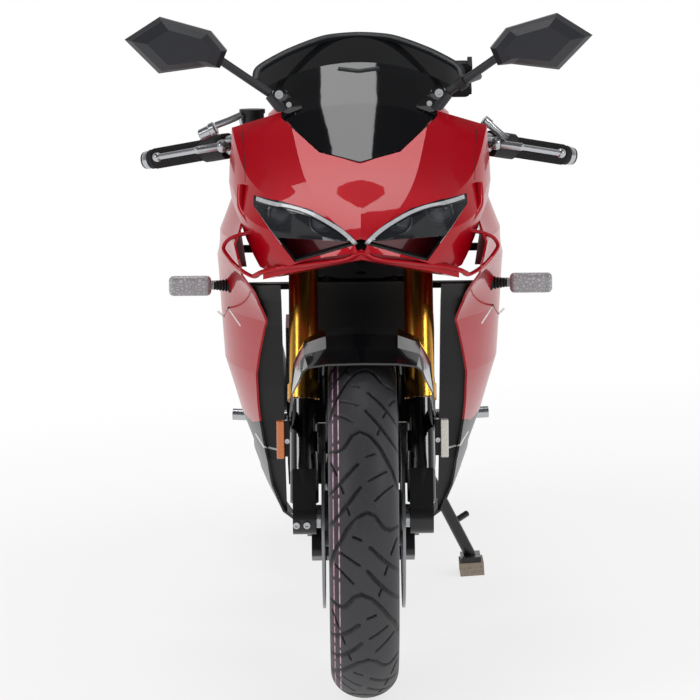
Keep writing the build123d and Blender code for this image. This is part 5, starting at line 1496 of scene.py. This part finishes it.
@dataclass
class Studio:
    """Camera, lamps, pale floor and white surround."""

    distance: float = 5000.0
    height: float = 1278.0
    side: float = -19.05
    pitch: float = 8.052
    roll: float = 0.56
    lens: float = 159.88
    ambient: float = 0.72

    def camera(self) -> None:
        """Places the camera in the drawing frame, where the bike stands upright."""
        data = bpy.data.cameras.new("camera")
        data.lens = self.lens
        data.sensor_width = 36.0
        data.sensor_fit = "HORIZONTAL"
        data.clip_end = 100.0
        made = bpy.data.objects.new("camera", data)
        bpy.context.scene.collection.objects.link(made)
        rigid = DRAWING @ Matrix.Scale(1000.0, 4)
        place = Matrix.Translation(Vector((self.side, -self.distance, self.height)) / 1000)
        look = Matrix.Rotation(math.radians(90.0 - self.pitch), 4, "X")
        roll = Matrix.Rotation(math.radians(-self.roll), 4, "Z")
        made.matrix_world = rigid @ place @ look @ roll
        bpy.context.scene.camera = made

    def floor(self) -> None:
        """Makes the pale floor, which the camera sees as white where nothing shades it."""
        drawn = bmesh.new()
        bmesh.ops.create_grid(drawn, x_segments=1, y_segments=1, size=30.0)
        data = bpy.data.meshes.new("floor")
        drawn.to_mesh(data)
        drawn.free()
        made = bpy.data.objects.new("floor", data)
        material = bpy.data.materials.new("pale_floor")
        material.use_nodes = True
        tree = material.node_tree
        tree.nodes.clear()
        plain = add(tree, "ShaderNodeBsdfDiffuse", {"Color": (0.9, 0.9, 0.9, 1.0)})
        white = add(tree, "ShaderNodeEmission", {"Color": WHITE, "Strength": 1.0})
        path = add(tree, "ShaderNodeLightPath")
        seen = add(tree, "ShaderNodeMath", {
            0: path.outputs["Is Camera Ray"], 1: path.outputs["Is Glossy Ray"]}, operation="MAXIMUM")
        seen = add(tree, "ShaderNodeMath", {
            0: seen.outputs[0], 1: path.outputs["Is Transmission Ray"]}, operation="MAXIMUM")
        place = add(tree, "ShaderNodeTexCoord").outputs["Object"]
        far = add(tree, "ShaderNodeVectorMath", {0: place}, operation="LENGTH").outputs["Value"]
        grown = add(tree, "ShaderNodeMapRange", {
            "Value": far, "From Min": 0.9, "From Max": 2.6, "To Min": 0.72, "To Max": 1.0})
        share = add(tree, "ShaderNodeMath", {0: seen.outputs[0], 1: grown.outputs[0]}, operation="MULTIPLY")
        mixed = add(tree, "ShaderNodeMixShader", {
            0: share.outputs[0], 1: plain.outputs[0], 2: white.outputs[0]})
        add(tree, "ShaderNodeOutputMaterial", {"Surface": mixed.outputs[0]})
        data.materials.append(material)
        bpy.context.scene.collection.objects.link(made)

    def world(self) -> None:
        """Makes the surround: white to the camera, soft light with darker ends for the rest."""
        world = bpy.data.worlds.new("studio")
        bpy.context.scene.world = world
        world.use_nodes = True
        tree = world.node_tree
        tree.nodes.clear()
        where = add(tree, "ShaderNodeTexCoord").outputs["Generated"]
        parts = add(tree, "ShaderNodeSeparateXYZ", {0: where})
        rear = add(tree, "ShaderNodeMapRange", {
            "Value": parts.outputs["Y"], "From Min": -0.1, "From Max": 0.6, "To Min": 0.16, "To Max": 0.9})
        low = add(tree, "ShaderNodeMapRange", {
            "Value": parts.outputs["Z"], "From Min": 0.35, "From Max": 0.7, "To Min": 1.0, "To Max": 0.3})
        level = add(tree, "ShaderNodeMath", {0: rear.outputs[0], 1: low.outputs[0]}, operation="MULTIPLY")
        mirrored = add(tree, "ShaderNodeBackground", {"Color": WHITE, "Strength": level.outputs[0]})
        soft = add(tree, "ShaderNodeBackground", {"Color": WHITE, "Strength": self.ambient})
        white = add(tree, "ShaderNodeBackground", {"Color": WHITE, "Strength": 1.0})
        path = add(tree, "ShaderNodeLightPath")
        seen = add(tree, "ShaderNodeMath", {
            0: path.outputs["Is Camera Ray"], 1: path.outputs["Is Transmission Ray"]}, operation="MAXIMUM")
        glossy = add(tree, "ShaderNodeMixShader", {
            0: path.outputs["Is Glossy Ray"], 1: soft.outputs[0], 2: mirrored.outputs[0]})
        mixed = add(tree, "ShaderNodeMixShader", {
            0: seen.outputs[0], 1: glossy.outputs[0], 2: white.outputs[0]})
        add(tree, "ShaderNodeOutputWorld", {"Surface": mixed.outputs[0]})

    def lamp(self, name: str, place: tuple[float, float, float], aim: tuple[float, float, float], size: float,
             power: float) -> None:
        """Adds a soft square lamp.

        Args:
            name: The lamp's name.
            place: Where it hangs, in metres.
            aim: The point it faces.
            size: Its width in metres.
            power: Its power in watts.
        """
        data = bpy.data.lights.new(name, "AREA")
        data.energy = power
        data.size = size
        made = bpy.data.objects.new(name, data)
        bpy.context.scene.collection.objects.link(made)
        made.location = place
        made.rotation_euler = (Vector(aim) - Vector(place)).to_track_quat("-Z", "Y").to_euler()

    def build(self) -> None:
        """Sets up the whole studio."""
        self.camera()
        self.floor()
        self.world()
        self.lamp("key_left", (-3.4, -2.6, 2.4), (0.0, -0.4, 0.6), 1.2, 30.0)
        self.lamp("key_right", (3.4, -2.6, 2.4), (0.0, -0.4, 0.6), 1.2, 30.0)
        self.lamp("top", (0.0, -0.2, 3.8), (0.0, -0.2, 0.5), 1.0, 16.0)
        bpy.context.scene.view_settings.view_transform = "Standard"


def main() -> None:
    """Builds the bike's dressing in order and writes how big it came out."""
    logging.basicConfig(level=logging.INFO, format="%(message)s")
    Studio().build()
    Dressing().build()
    shop = Workshop()
    repeater = Repeater()
    Tread("front_tyre_tread", "front_tyre", Body.FRONT_WHEEL, (0.0, 0.0, FRONT_RADIUS), FRONT_RADIUS,
          width=110.0, rim_width=76.0, finish=TREAD).build(shop)
    Tread("rear_tyre_tread", "rear_tyre", Body.REAR_WHEEL, (0.0, WHEELBASE, REAR_RADIUS), REAR_RADIUS,
          width=140.0, rim_width=102.0, finish=REAR_TREAD).build(shop)
    NoseTrim().build(shop)
    LampInside().build(shop)
    ScreenTrim().build(shop)
    MirrorTrim().build(shop, repeater)
    Controls().build(shop, repeater)
    Indicators().build(shop)
    ForkTrim().build(shop, repeater)
    Pad("rider_seat_pad", "rider_seat", middle=(860.0, 800.0), reach=(150.0, 165.0),
        seam_drop=18.0).build(shop, repeater)
    Pad("pillion_seat_pad", "pillion_seat", middle=(1145.0, 890.0), reach=(115.0, 125.0),
        seam_drop=14.0).build(shop, repeater)
    Chain().build(shop, repeater)
    MetalDetail().build(shop, repeater)
    log.info("%d pieces made", len(shop.made))


if __name__ == "__main__":
    main()
